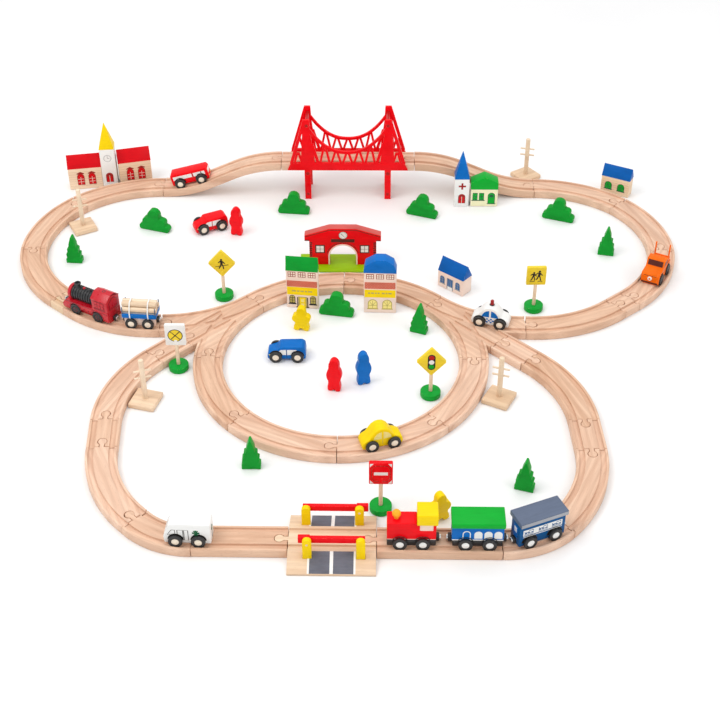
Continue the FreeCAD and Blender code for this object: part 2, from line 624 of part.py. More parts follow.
def battery_loco():
    wb, y = 40.0, 14.0
    zc = WHEEL_R
    low = prism_xz([(-40, 3.6), (38, 3.6), (43, 8), (43, 13), (38, 19), (-10, 20.5), (-10, 22), (-40, 22)], -y, y)
    for x in (-wb / 2, wb / 2):
        for sg in (-1, 1):
            a, b = sorted((sg * 10.2, sg * 15))
            low = low.cut(cyly(x, zc, a, b, 9.6))
            low = low.cut(box(x - 9.6, x + 9.6, a, b, 0, zc))
    cab = prism_yz([(-14, 21.5), (14, 21.5), (14, 39.5), (4, 47.5), (-4, 47.5), (-14, 39.5)], -40, -12)
    cab = cab.cut(prism_yz([(-10.5, 22), (10.5, 22), (10.5, 38.0), (3, 44), (-3, 44), (-10.5, 38.0)], -42, -15.5))
    cab = cab.cut(box(-33, -19, -20, 20, 29.5, 36.5))
    shell = bored(low.fuse(cab).removeSplitter(), wb)
    az = 29.3
    ring = cylx(0, az, 29.0, 33.5, 11.8).cut(cylx(0, az, 20, 40, 9.5)).cut(low)
    boiler = fuse([cylx(0, az, -11.9, 29.0, 9.8)] + [cylx(0, az, x, x + 2.2, 11.0) for x in (-9.5, -4.1, 1.3, 6.7, 12.1, 17.5, 22.9)])
    boiler = boiler.fuse(box(-11.9, 29.0, -6, 6, 19.6, 24)).removeSplitter().cut(low)
    nose = cylx(0, az, 29.0, 34.6, 9.3)
    stack = cylz(22.0, 0, 37.0, 43.2, 3.9).fuse(cylz(22.0, 0, 43.2, 45.8, 4.9)).cut(cylz(22, 0, 41, 60, 3.1))
    boiler = boiler.cut(cylz(22.0, 0, 37.0, 60, 3.9))
    solids = [one(shell), one(boiler), one(ring), one(nose), one(stack)] + magnet(-40, -1) + magnet(43, 1, 9.5)
    return solids, wb


def log_car():
    wb = 24.0
    under = bored(box(-22, 22, -BODY_Y, BODY_Y, 4.0, 17.6), wb)
    deck = box(-24.5, 24.5, -13.0, 13.0, 17.6, 24.0)
    bol = []
    for x in (-13.0, 13.0):
        b = box(x - 1.6, x + 1.6, -12.4, 12.4, 24.0, 25.6)
        for sg in (-1, 1):
            y0, y1 = sorted((sg * 11.2, sg * 12.4))
            b = b.fuse(box(x - 1.6, x + 1.6, y0, y1, 24.0, 35.5))
        bol.append(one(b.removeSplitter()))
    logs = []
    for y, z in ((-7.3, 29.3), (0, 29.3), (7.3, 29.3), (-3.65, 35.8), (3.65, 35.8)):
        logs.append(cylx(y, z, -24.5, 24.5, 3.6))
    return [one(under), deck] + bol + logs + magnet(-22, -1, 9.5) + magnet(22, 1, 9.5), wb


def steam_engine():
    wb = 26.6
    y = BODY_Y
    chas = bored(box(-28.5, 28.5, -y, y, 3.6, 13.2), wb)
    body = prism_xz([(-28.5, 13.2), (28.5, 13.2), (28.5, 37.4), (25, 37.4), (25, 27.0), (9.5, 27.0), (9.5, 37.4), (6.0, 37.4), (6.0, 39.2), (-28.5, 39.2)], -y, y)
    body = body.cut(cylz(-17.5, 0, 34, 45, 3.0))
    cab = fillet(box(6.1, 30.5, -12.0, 12.0, 37.4, 53.4), 1.0, lambda e: True)
    ball = Part.makeSphere(5.2, V(-17.5, 0, 45.8)).fuse(cylz(-17.5, 0, 34.0, 43.0, 2.95)).removeSplitter()
    return [one(chas), one(body), one(cab), one(ball)] + magnet(28.5, 1), wb


def coach(chassis):
    wb = 28.0 if chassis else 33.0
    y = BODY_Y
    out = []
    if chassis:
        out.append(one(bored(box(-29, 29, -y, y, 3.6, 12.6), wb)))
        out.append(box(-30, 30, -y, y, 12.6, 36.2))
        roof = box(-31, 31, -15, 15, 36.2, 43.6)
    else:
        out.append(one(bored(box(-30, 30, -y, y, 3.4, 36.0), wb)))
        roof = box(-31, 31, -14, 14, 36.0, 43.0)
    out.append(one(fillet(roof, 1.2, lambda e: True)))
    return out + magnet(-30, -1) + magnet(30, 1), wb


def profile_car(pts, wb, half=BODY_Y, r=1.2):
    s = prism_xz(pts, -half, half)
    s = fillet(s, r, lambda e: abs(abs(e.Vertexes[0].Y) - half) < 1e-6 and abs(e.Vertexes[0].Y - e.Vertexes[-1].Y) < 1e-6 and min(e.Vertexes[0].Z, e.Vertexes[-1].Z) > 5.0)
    return one(bored(s, wb))


def bus():
    wb = 36.0
    pts = [(-30.5, 5.8), (30.5, 5.8), (31.5, 9), (31, 22), (28.5, 26), (-29.5, 26), (-31.5, 23.5), (-31.5, 7.5)]
    return [profile_car(pts, wb)], wb


def hatch_car():
    """Hood towards +X."""
    wb = 30.0
    pts = [(-26, 3.2), (26, 3.2), (26.5, 8), (25.2, 13.2), (13.5, 17.3), (8.5, 23.0), (-21.5, 23.8), (-25.5, 20.5), (-26.5, 12)]
    return [profile_car(pts, wb)], wb


def dome_car(light):
    wb = 29.0
    pts = [(-26, 3.2), (26, 3.2), (27, 8), (26.0, 12.6), (22.0, 15.6), (15.5, 17.8), (12.4, 22.5), (8.8, 27.4), (4.2, 30.9), (-1.0, 32.0),
           (-6.0, 31.0), (-10.8, 27.6), (-14.4, 22.6), (-17.8, 17.9), (-22.8, 15.4), (-26.0, 12.4), (-27, 8)]
    s = profile_car(pts, wb)
    if light:
        s = one(s.cut(cylz(0, 0, 26.0, 40, 2.5)))
        return [s, one(fillet(cylz(0, 0, 26.0, 39.5, 2.45), 0.8, lambda e: e.Vertexes[0].Z > 39))], wb
    return [s], wb


def van():
    """Sloping front towards -X."""
    wb = 27.0
    pts = [(-27, 3.2), (28, 3.2), (28.5, 31.5), (27, 33), (-18.5, 33), (-21, 31), (-26.5, 17), (-28, 12)]
    return [profile_car(pts, wb)], wb


def truck():
    wb = 30.0
    y = 13.4
    pts = [(-26, 4), (27, 4), (27.5, 19), (26, 21.5), (8, 22.5), (4, 33), (-9, 33), (-10, 20), (-26, 20)]
    body = profile_car(pts, wb, y, 1.0)
    for x in (-wb / 2, wb / 2):
        for sg in (-1, 1):
            a, b = sorted((sg * 10.2, sg * 15))
            body = body.cut(cyly(x, WHEEL_R, a, b, 9.4)).cut(box(x - 9.4, x + 9.4, a, b, 0, WHEEL_R))
    bed = box(-26.5, -10.5, -12.0, 12.0, 20.0, 24.0)
    stakes = [cylz(-23.5, sy * 10.4, 24.0, 45.0, 1.1) for sy in (-1, 1)]
    lamp = cylx(0, 14.0, 27.2, 28.6, 3.2)
    body = body.cut(cylx(0, 14.0, 27.2, 30, 3.2))
    return [one(body), bed, one(lamp)] + stakes, wb


ZG = TRACK_H - GROOVE_D


def on_arc(cx, cy, ang, wb, forward, r=R_BIG):
    """Car centre pose on an arc: ang is the polar angle about (cx, cy)."""
    rr = math.sqrt(r * r - (wb / 2) ** 2)
    return (cx + rr * math.cos(rad(ang)), cy + rr * math.sin(rad(ang)), ang + 90 * forward, ZG, 0.0)


def arc_centre(tag):
    (p, h, kind, val) = DOCK[tag]
    sg = 1 if val[0] > 0 else -1
    return (p[0] - sg * val[1] * math.sin(rad(h)), p[1] + sg * val[1] * math.cos(rad(h)))


LC = arc_centre("lobeL1")
RC = arc_centre("lobeR3")
SC = arc_centre("lowR5")
LLC = arc_centre("lowL5")
AMB_A = 268.0                # place of the ambulance about the centre of the last small arc
EXIT_C = (2 * S[0], S[1] + R_BIG * math.cos(rad(45)))
BUS_A = 14.8                 # slope of the bus on the left ramp
BUS_WB = 36.0
# the wheel centres ride on an arc concentric with the lower ramp arc
bus_r = math.sqrt((RAMP_R - (TRACK_H / 2 - GROOVE_D) - WHEEL_R) ** 2 - (BUS_WB / 2) ** 2) + WHEEL_R
bus_x = -LOBE_X + GAP + bus_r * math.sin(rad(BUS_A))
bus_z = RAMP_R + TRACK_H / 2 - bus_r * math.cos(rad(BUS_A))

FLEET = (
    ("battery_loco", battery_loco(), on_arc(LC[0], LC[1], 240.4, 40.0, -1)),
    ("log_car", log_car(), on_arc(LC[0], LC[1], 265.0, 24.0, -1)),
    ("steam_engine", steam_engine(), (91.3, CROSS_Y, 0.0, ZG, 0.0)),
    ("green_coach", coach(True), (167.8, CROSS_Y, 0.0, ZG, 0.0)),
    ("blue_coach", coach(False), on_arc(SC[0], SC[1], -65.8, 33.0, 1, R_SMALL)),
    ("red_bus", bus(), (bus_x, TOP_Y, 0.0, bus_z, BUS_A)),
    ("red_car", hatch_car(), (-214.0, 337.5, 205.0, 0.0, 0.0)),
    ("blue_car", hatch_car(), (-74.5, 14.5, 180.0, 0.0, 0.0)),
    ("yellow_car", dome_car(False), on_arc(0, 0, 287.6, 29.0, 1)),
    ("police_car", dome_car(True), on_arc(EXIT_C[0], EXIT_C[1], 254.8, 29.0, 1)),
    ("ambulance", van(), on_arc(LLC[0], LLC[1], AMB_A, 27.0, 1, R_SMALL)),
    ("orange_truck", truck(), on_arc(RC[0], RC[1], -27.0, 30.0, -1)),
)
for name, (solids, wb), (x, y, a, z, pitch) in FLEET:
    export(name, [put(s, x, y, a, z, pitch) for s in solids])
    for tag, sx in (("rear", -1), ("front", 1)):
        ws = []
        for s in wheelset():
            t = s.copy()
            t.translate(V(sx * wb / 2, 0, WHEEL_R))
            ws.append(put(t, x, y, a, z, pitch))
        export("%s_wheels_%s" % (name, tag), ws)
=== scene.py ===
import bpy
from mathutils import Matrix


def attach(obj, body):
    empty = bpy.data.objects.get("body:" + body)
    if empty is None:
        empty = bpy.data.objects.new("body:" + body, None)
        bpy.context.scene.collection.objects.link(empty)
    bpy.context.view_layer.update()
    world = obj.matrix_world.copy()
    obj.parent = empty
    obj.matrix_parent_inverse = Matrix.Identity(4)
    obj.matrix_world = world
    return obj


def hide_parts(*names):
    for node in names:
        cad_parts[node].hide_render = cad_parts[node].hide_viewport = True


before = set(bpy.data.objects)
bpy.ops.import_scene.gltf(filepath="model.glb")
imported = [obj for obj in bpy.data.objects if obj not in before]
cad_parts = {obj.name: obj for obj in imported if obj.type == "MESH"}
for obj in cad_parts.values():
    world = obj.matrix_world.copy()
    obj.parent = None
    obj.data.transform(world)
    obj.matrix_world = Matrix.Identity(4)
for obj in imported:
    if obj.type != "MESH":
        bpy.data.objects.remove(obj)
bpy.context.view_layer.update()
import bpy
import bmesh
import math
import random
from mathutils import Matrix, Vector

rng = random.Random(7)
OY = -65.555
rad = math.radians

# ------------------------------------------------------------------ layout
R, RS, GAP, SW = 182.0, 101.0, 0.8, 128.0


def turn(p, h, da, r):
    s = 1 if da > 0 else -1
    h1 = h + da
    return (p[0] + s * r * (math.sin(rad(h1)) - math.sin(rad(h))), p[1] - s * r * (math.cos(rad(h1)) - math.cos(rad(h)))), h1


def fwd(p, h, l):
    return (p[0] + l * math.cos(rad(h)), p[1] + l * math.sin(rad(h)))


DOCK = {}


def chain(p, h, specs, kinks, tag):
    for i, ((k, v), kk) in enumerate(zip(specs, kinks)):
        h += kk
        p = fwd(p, h, max(GAP, 20 * math.tan(rad(abs(kk))) + 0.25))
        DOCK[tag + str(i + 1)] = (p, h, k, v)
        if k == "s":
            p = fwd(p, h, v)
        else:
            p, h = turn(p, h, *v)
    DOCK[tag + "end"] = (p, h)


S = (R * math.cos(rad(45)), R * math.sin(rad(45)))
cl, cr, sl, sr = ("c", (45.0, R)), ("c", (-45.0, R)), ("c", (45.0, RS)), ("c", (-45.0, RS))
KINK = (-3.0, -2.0, 0.0, 2.0, 3.0)
e, h = turn(S, -45, 45, R)
chain(e, h, [cl, ("s", 28.0), cl, cl, cl], KINK, "lobeR")
e, h = turn((-S[0], S[1]), 225, -45, R)
chain(e, h, [cr, ("s", 28.0), cr, cr, cr], [-k for k in KINK], "lobeL")
chain(fwd(S, -45, SW), -45, [("s", 53.0), cr, ("s", 55.75), cr, sr], (1, 1.5, 0, -1, -1.5), "lowR")


def arcc(tag):
    p, h, k, v = DOCK[tag]
    sg = 1 if v[0] > 0 else -1
    return (p[0] - sg * v[1] * math.sin(rad(h)), p[1] + sg * v[1] * math.cos(rad(h)))


LC, RC, SC, EC = arcc("lobeL1"), arcc("lobeR3"), arcc("lowR5"), (2 * S[0], S[1] + R * math.cos(rad(45)))
LOBE_X = DOCK["lobeRend"][0][0]
TOP_Y = DOCK["lobeRend"][0][1]
CY = -343.46
CXM = -52.3 + 103 / 2
RAMP_L = LOBE_X - 106.5 - GAP * 1.5
RA = rad(24.0)
RAMP_R = (RAMP_L * math.sin(RA) - 50 * math.cos(RA)) / (2 * (1 - math.cos(RA)))
BUS_A = 14.8
bus_r = math.sqrt((RAMP_R - 3 - 8.5) ** 2 - 18.0 ** 2) + 8.5


def on_arc(c, ang, wb, f, r=R):
    rr = math.sqrt(r * r - (wb / 2) ** 2)
    return (c[0] + rr * math.cos(rad(ang)), c[1] + rr * math.sin(rad(ang)), ang + 90 * f, 9.0, 0.0)


POSE = {
    "battery_loco": (on_arc(LC, 240.4, 40, -1), 40), "log_car": (on_arc(LC, 265.0, 24, -1), 24),
    "steam_engine": ((91.3, CY, 0, 9, 0), 26.6), "green_coach": ((167.8, CY, 0, 9, 0), 28),
    "blue_coach": (on_arc(SC, -65.8, 33, 1, RS), 33),
    "red_bus": ((-LOBE_X + GAP + bus_r * math.sin(rad(BUS_A)), TOP_Y, 0, RAMP_R + 6 - bus_r * math.cos(rad(BUS_A)), BUS_A), 36),
    "red_car": ((-214.0, 337.5, 205.0, 0, 0), 30), "blue_car": ((-74.5, 14.5, 180.0, 0, 0), 30),
    "yellow_car": (on_arc((0, 0), 287.6, 29, 1), 29), "police_car": (on_arc(EC, 254.8, 29, 1), 29),
    "ambulance": (on_arc((-165.648117, -242.919799), 268.0, 27, 1, RS), 27), "orange_truck": (on_arc(RC, -27.0, 30, -1), 30)}

# --------------------------------------------------------------- materials
MATS = {}


def nod(nt, kind, **kw):
    n = nt.nodes.new(kind)
    for k, v in kw.items():
        if k in n.inputs:
            n.inputs[k].default_value = v
        else:
            setattr(n, k, v)
    return n


def base_mat(name):
    m = bpy.data.materials.new(name)
    m.use_nodes = True
    nt = m.node_tree
    nt.nodes.clear()
    out = nt.nodes.new("ShaderNodeOutputMaterial")
    b = nt.nodes.new("ShaderNodeBsdfPrincipled")
    nt.links.new(b.outputs[0], out.inputs[0])
    return m, nt, b


def coords(nt, scale, spread=3.0):
    """Object coordinates in metres, shifted by a random amount per piece."""
    tc = nt.nodes.new("ShaderNodeTexCoord")
    oi = nt.nodes.new("ShaderNodeObjectInfo")
    mul = nod(nt, "ShaderNodeVectorMath", operation="MULTIPLY")
    cmb = nt.nodes.new("ShaderNodeCombineXYZ")
    for i, k in enumerate((1.0, 2.3, 3.7)):
        mm = nod(nt, "ShaderNodeMath", operation="MULTIPLY")
        nt.links.new(oi.outputs["Random"], mm.inputs[0])
        mm.inputs[1].default_value = k * spread
        nt.links.new(mm.outputs[0], cmb.inputs[i])
    add = nod(nt, "ShaderNodeVectorMath", operation="ADD")
    nt.links.new(tc.outputs["Object"], mul.inputs[0])
    mul.inputs[1].default_value = scale
    nt.links.new(mul.outputs[0], add.inputs[0])
    nt.links.new(cmb.outputs[0], add.inputs[1])
    return add.outputs[0], oi.outputs["Random"]


def ramp(nt, fac, stops):
    r = nt.nodes.new("ShaderNodeValToRGB")
    el = r.color_ramp.elements
    while len(el) < len(stops):
        el.new(0.5)
    for e_, (p, c) in zip(el, stops):
        e_.position = p
        e_.color = (*c, 1)
    nt.links.new(fac, r.inputs[0])
    return r.outputs[0]


def mix(nt, fac, a, b, mode="MIX"):
    n = nt.nodes.new("ShaderNodeMix")
    n.data_type = "RGBA"
    n.blend_type = mode
    for sock, v in ((n.inputs[0], fac), (n.inputs[6], a), (n.inputs[7], b)):
        if isinstance(v, (float, int)):
            sock.default_value = v
        elif isinstance(v, tuple):
            sock.default_value = (*v, 1)
        else:
            nt.links.new(v, sock)
    return n.outputs[2]


def mrange(nt, v, a, b, c, d):
    n = nt.nodes.new("ShaderNodeMapRange")
    nt.links.new(v, n.inputs[0])
    for i, x in enumerate((a, b, c, d)):
        n.inputs[i + 1].default_value = x
    return n.outputs[0]


def edge_mask(nt, radius=0.0007):
    """1 on sharp edges, 0 on flats: rubbed paint on painted wood, darker edges on bare wood, and a painted highlight
    along plastic edges.
    """
    bv = nod(nt, "ShaderNodeBevel", samples=3)
    bv.inputs["Radius"].default_value = radius
    geo = nt.nodes.new("ShaderNodeNewGeometry")
    dot = nod(nt, "ShaderNodeVectorMath", operation="DOT_PRODUCT")
    nt.links.new(bv.outputs[0], dot.inputs[0])
    nt.links.new(geo.outputs["Normal"], dot.inputs[1])
    return mrange(nt, dot.outputs["Value"], 0.985, 0.86, 0.0, 1.0)


def wood(name, light, mid, dark, figure=1.0, rough=0.55, grain_x=True):
    """Beech: long soft bands, short dark ray flecks and fine fibre."""
    m, nt, b = base_mat(name)
    gx = (1.0, 1.0, 1.0)
    v1, rnd = coords(nt, (5.0, 55.0, 55.0))
    bands = nod(nt, "ShaderNodeTexNoise", Scale=1.0, Detail=3.0, Roughness=0.5, Distortion=0.6)
    nt.links.new(v1, bands.inputs["Vector"])
    v2, _ = coords(nt, (2.2, 34.0, 34.0), 5.0)
    wav = nod(nt, "ShaderNodeTexWave", wave_type="BANDS", bands_direction="Y")
    wav.inputs["Scale"].default_value = 1.0
    wav.inputs["Distortion"].default_value = 7.0
    wav.inputs["Detail"].default_value = 2.0
    wav.inputs["Detail Scale"].default_value = 0.6
    nt.links.new(v2, wav.inputs["Vector"])
    v3, _ = coords(nt, (130.0, 1500.0, 1500.0), 9.0)
    fleck = nod(nt, "ShaderNodeTexNoise", Scale=1.0, Detail=2.0, Roughness=0.6)
    nt.links.new(v3, fleck.inputs["Vector"])
    v4, _ = coords(nt, (22.0, 420.0, 420.0), 7.0)
    fib = nod(nt, "ShaderNodeTexNoise", Scale=1.0, Detail=4.0, Roughness=0.65)
    nt.links.new(v4, fib.inputs["Vector"])
    col = ramp(nt, bands.outputs[0], [(0.25, dark), (0.5, mid), (0.75, light)])
    wf = mrange(nt, wav.outputs["Fac"], 0.0, 1.0, 0.0, 0.35 * figure)
    col = mix(nt, wf, col, tuple(x * 0.86 for x in dark))
    ff = mrange(nt, fib.outputs[0], 0.45, 0.75, 0.0, 0.42 * figure)
    col = mix(nt, ff, col, tuple(x * 0.78 for x in dark))
    fl = mrange(nt, fleck.outputs[0], 0.63, 0.72, 0.0, 0.5)
    col = mix(nt, fl, col, tuple(x * 0.62 for x in dark))
    hv = nt.nodes.new("ShaderNodeHueSaturation")
    nt.links.new(col, hv.inputs["Color"])
    nt.links.new(mrange(nt, rnd, 0, 1, 0.93, 1.05), hv.inputs["Value"])
    nt.links.new(mrange(nt, rnd, 0, 1, 1.06, 0.92), hv.inputs["Saturation"])
    em = edge_mask(nt, 0.0006)
    col2 = mix(nt, mrange(nt, em, 0, 1, 0.0, 0.35), hv.outputs[0], tuple(min(1.0, x * 0.80) for x in mid))
    nt.links.new(col2, b.inputs["Base Color"])
    nt.links.new(mrange(nt, fib.outputs[0], 0.3, 0.8, rough - 0.08, rough + 0.14), b.inputs["Roughness"])
    bump = nod(nt, "ShaderNodeBump")
    bump.inputs["Strength"].default_value = 0.28
    bump.inputs["Distance"].default_value = 0.00022
    nt.links.new(fib.outputs[0], bump.inputs["Height"])
    b2 = nod(nt, "ShaderNodeBump")
    b2.inputs["Strength"].default_value = 0.2
    b2.inputs["Distance"].default_value = 0.00012
    nt.links.new(fleck.outputs[0], b2.inputs["Height"])
    nt.links.new(bump.outputs[0], b2.inputs["Normal"])
    nt.links.new(b2.outputs[0], b.inputs["Normal"])
    b.inputs["Specular IOR Level"].default_value = 0.35
    MATS[name] = m
    return m


def paint(name, col, rough=0.36, wear=(0.78, 0.62, 0.44), worn=0.55, vary=0.10, grain=0.22, coat=0.15):
    """Paint over wood: faint grain in the film, mottling, rubbed edges."""
    m, nt, b = base_mat(name)
    v1, rnd = coords(nt, (30.0, 60.0, 60.0))
    mot = nod(nt, "ShaderNodeTexNoise", Scale=1.0, Detail=4.0, Roughness=0.6)
    nt.links.new(v1, mot.inputs["Vector"])
    v2, _ = coords(nt, (40.0, 700.0, 700.0), 5.0)
    fib = nod(nt, "ShaderNodeTexNoise", Scale=1.0, Detail=4.0, Roughness=0.6)
    nt.links.new(v2, fib.inputs["Vector"])
    dark = tuple(max(0.0, x * (1 - 2.0 * vary)) for x in col)
    lite = tuple(min(1.0, x * (1 + vary) + 0.002) for x in col)
    c = ramp(nt, mot.outputs[0], [(0.28, dark), (0.52, col), (0.78, lite)])
    c = mix(nt, mrange(nt, fib.outputs[0], 0.42, 0.72, 0.0, grain), c, tuple(x * 0.62 for x in col))
    v3, _ = coords(nt, (420.0, 420.0, 420.0), 8.0)
    sp = nod(nt, "ShaderNodeTexNoise", Scale=1.0, Detail=3.0, Roughness=0.7)
    nt.links.new(v3, sp.inputs["Vector"])
    em = edge_mask(nt, 0.0005)
    wm = nod(nt, "ShaderNodeMath", operation="MULTIPLY")
    nt.links.new(em, wm.inputs[0])
    nt.links.new(mrange(nt, sp.outputs[0], 0.50, 0.62, 0.0, worn), wm.inputs[1])
    c = mix(nt, wm.outputs[0], c, wear)
    nt.links.new(c, b.inputs["Base Color"])
    nt.links.new(mrange(nt, mot.outputs[0], 0.25, 0.8, rough - 0.07, rough + 0.14), b.inputs["Roughness"])
    bump = nod(nt, "ShaderNodeBump")
    bump.inputs["Strength"].default_value = 0.22
    bump.inputs["Distance"].default_value = 0.00016
    nt.links.new(fib.outputs[0], bump.inputs["Height"])
    nt.links.new(bump.outputs[0], b.inputs["Normal"])
    b.inputs["Coat Weight"].default_value = coat
    b.inputs["Coat Roughness"].default_value = 0.25
    b.inputs["Specular IOR Level"].default_value = 0.13
    MATS[name] = m
    return m


def plastic(name, col, rough=0.4, vary=0.12, spec=0.45):
    m, nt, b = base_mat(name)
    v1, rnd = coords(nt, (180.0, 180.0, 180.0))
    n1 = nod(nt, "ShaderNodeTexNoise", Scale=1.0, Detail=4.0, Roughness=0.6)
    nt.links.new(v1, n1.inputs["Vector"])
    v2, _ = coords(nt, (2600.0, 2600.0, 2600.0))
    n2 = nod(nt, "ShaderNodeTexNoise", Scale=1.0, Detail=2.0)
    nt.links.new(v2, n2.inputs["Vector"])
    c = ramp(nt, n1.outputs[0], [(0.3, tuple(x * (1 - vary) for x in col)), (0.7, tuple(min(1, x * (1 + vary) + 0.01) for x in col))])
    em = edge_mask(nt, 0.0005)
    # painted highlight: every sharp edge is mixed up to 30% toward a lighter copy of the plastic colour
    c = mix(nt, mrange(nt, em, 0, 1, 0.0, 0.30), c, tuple(min(1, x * 1.5 + 0.06) for x in col))
    nt.links.new(c, b.inputs["Base Color"])
    nt.links.new(mrange(nt, n1.outputs[0], 0.3, 0.7, rough - 0.08, rough + 0.12), b.inputs["Roughness"])
    bump = nod(nt, "ShaderNodeBump")
    bump.inputs["Strength"].default_value = 0.15
    bump.inputs["Distance"].default_value = 0.0001
    nt.links.new(n2.outputs[0], bump.inputs["Height"])
    nt.links.new(bump.outputs[0], b.inputs["Normal"])
    b.inputs["Specular IOR Level"].default_value = spec
    MATS[name] = m
    return m


def metal(name, col, rough=0.22):
    m, nt, b = base_mat(name)
    v1, rnd = coords(nt, (300.0, 300.0, 300.0))
    n1 = nod(nt, "ShaderNodeTexNoise", Scale=1.0, Detail=5.0, Roughness=0.7)
    nt.links.new(v1, n1.inputs["Vector"])
    c = ramp(nt, n1.outputs[0], [(0.35, tuple(x * 0.75 for x in col)), (0.7, col)])
    nt.links.new(c, b.inputs["Base Color"])
    nt.links.new(mrange(nt, n1.outputs[0], 0.3, 0.75, rough - 0.08, rough + 0.18), b.inputs["Roughness"])
    bump = nod(nt, "ShaderNodeBump")
    bump.inputs["Strength"].default_value = 0.1
    bump.inputs["Distance"].default_value = 0.0001
    nt.links.new(n1.outputs[0], bump.inputs["Height"])
    nt.links.new(bump.outputs[0], b.inputs["Normal"])
    b.inputs["Metallic"].default_value = 1.0
    MATS[name] = m
    return m


wood("beech", (0.86, 0.605, 0.44), (0.79, 0.52, 0.365), (0.63, 0.37, 0.24), 1.0)
wood("beech_pale", (0.86, 0.66, 0.46), (0.80, 0.58, 0.39), (0.68, 0.45, 0.28), 0.8)
wood("peg_wood", (0.90, 0.74, 0.56), (0.86, 0.68, 0.49), (0.74, 0.54, 0.37), 0.6)
wood("log_wood", (0.95, 0.80, 0.62), (0.90, 0.72, 0.53), (0.70, 0.50, 0.33), 1.4)
wood("plank", (0.94, 0.74, 0.54), (0.91, 0.69, 0.48), (0.82, 0.58, 0.38), 0.7)
wood("block_wood", (0.92, 0.77, 0.62), (0.89, 0.72, 0.56), (0.80, 0.60, 0.44), 0.5)
paint("red", (0.89, 0.0, 0.006), vary=0.06, coat=0.06)
paint("red_dark", (0.50, 0.010, 0.010), vary=0.08)
paint("red_top", (0.62, 0.10, 0.085), vary=0.10)
paint("church_red", (0.68, 0.0, 0.006), vary=0.08, coat=0.06)
paint("green", (0.0, 0.330, 0.030), vary=0.08, coat=0.06)
paint("green_leaf", (0.0, 0.310, 0.024), vary=0.10, coat=0.04)
paint("lime", (0.30, 0.54, 0.002), vary=0.07)
paint("green_roof", (0.0, 0.390, 0.028), vary=0.06, coat=0.06)
paint("blue", (0.0, 0.145, 0.520), vary=0.08, coat=0.06)
paint("blue_roof", (0.0, 0.108, 0.430), vary=0.08, coat=0.06)
paint("blue_deep", (0.002, 0.088, 0.265), vary=0.08, coat=0.06)
paint("yellow", (0.93, 0.66, 0.0), vary=0.05, coat=0.06)
paint("yellow_pale", (0.92, 0.78, 0.26), vary=0.05)
paint("yellow_sign", (0.88, 0.66, 0.035), vary=0.05)
paint("orange", (0.90, 0.15, 0.0), vary=0.06, coat=0.06)
paint("orange_ball", (0.93, 0.42, 0.02), vary=0.05)
paint("white", (0.86, 0.86, 0.84), vary=0.025, grain=0.06, worn=0.35)
paint("cream", (0.88, 0.78, 0.64), vary=0.04, grain=0.12, worn=0.3)
paint("mortar", (0.80, 0.36, 0.26), vary=0.06, grain=0.08)
paint("pink", (0.90, 0.71, 0.61), vary=0.04, grain=0.10, worn=0.3)
paint("grey", (0.115, 0.145, 0.215), vary=0.07, rough=0.45)
paint("grey_edge", (0.36, 0.37, 0.40), vary=0.06, rough=0.45)
paint("asphalt", (0.15, 0.155, 0.19), vary=0.14, rough=0.6, coat=0.0)
paint("black_ink", (0.022, 0.020, 0.020), vary=0.10, rough=0.45, worn=0.2)
paint("brown_ink", (0.10, 0.022, 0.015), vary=0.10, rough=0.45, worn=0.2)
paint("maroon", (0.34, 0.015, 0.015), vary=0.08, rough=0.4, worn=0.2)
paint("brick", (0.62, 0.10, 0.055), vary=0.12, rough=0.5, worn=0.2)
paint("green_ink", (0.012, 0.13, 0.05), vary=0.10, rough=0.45, worn=0.2)
paint("log_line", (0.66, 0.47, 0.30), vary=0.08, rough=0.5, worn=0.1)
paint("yellow_pale2", (0.88, 0.84, 0.55), vary=0.04, grain=0.1, worn=0.2)
paint("lattice", (0.50, 0.40, 0.10), vary=0.10, rough=0.45, worn=0.2)
paint("blue_ink", (0.03, 0.14, 0.36), vary=0.08, rough=0.4, worn=0.2)
paint("grey_ink", (0.30, 0.31, 0.33), vary=0.08, rough=0.4, worn=0.2)
plastic("tyre", (0.016, 0.016, 0.017), 0.42)
plastic("black_plastic", (0.020, 0.021, 0.023), 0.34)
plastic("red_plastic", (0.52, 0.0, 0.012), 0.30, vary=0.05)
plastic("red_plastic_dark", (0.27, 0.0, 0.008), 0.35, vary=0.07)
plastic("ferrite", (0.035, 0.035, 0.040), 0.5)
metal("chrome", (0.80, 0.80, 0.80), 0.2)
metal("steel", (0.62, 0.62, 0.62), 0.3)


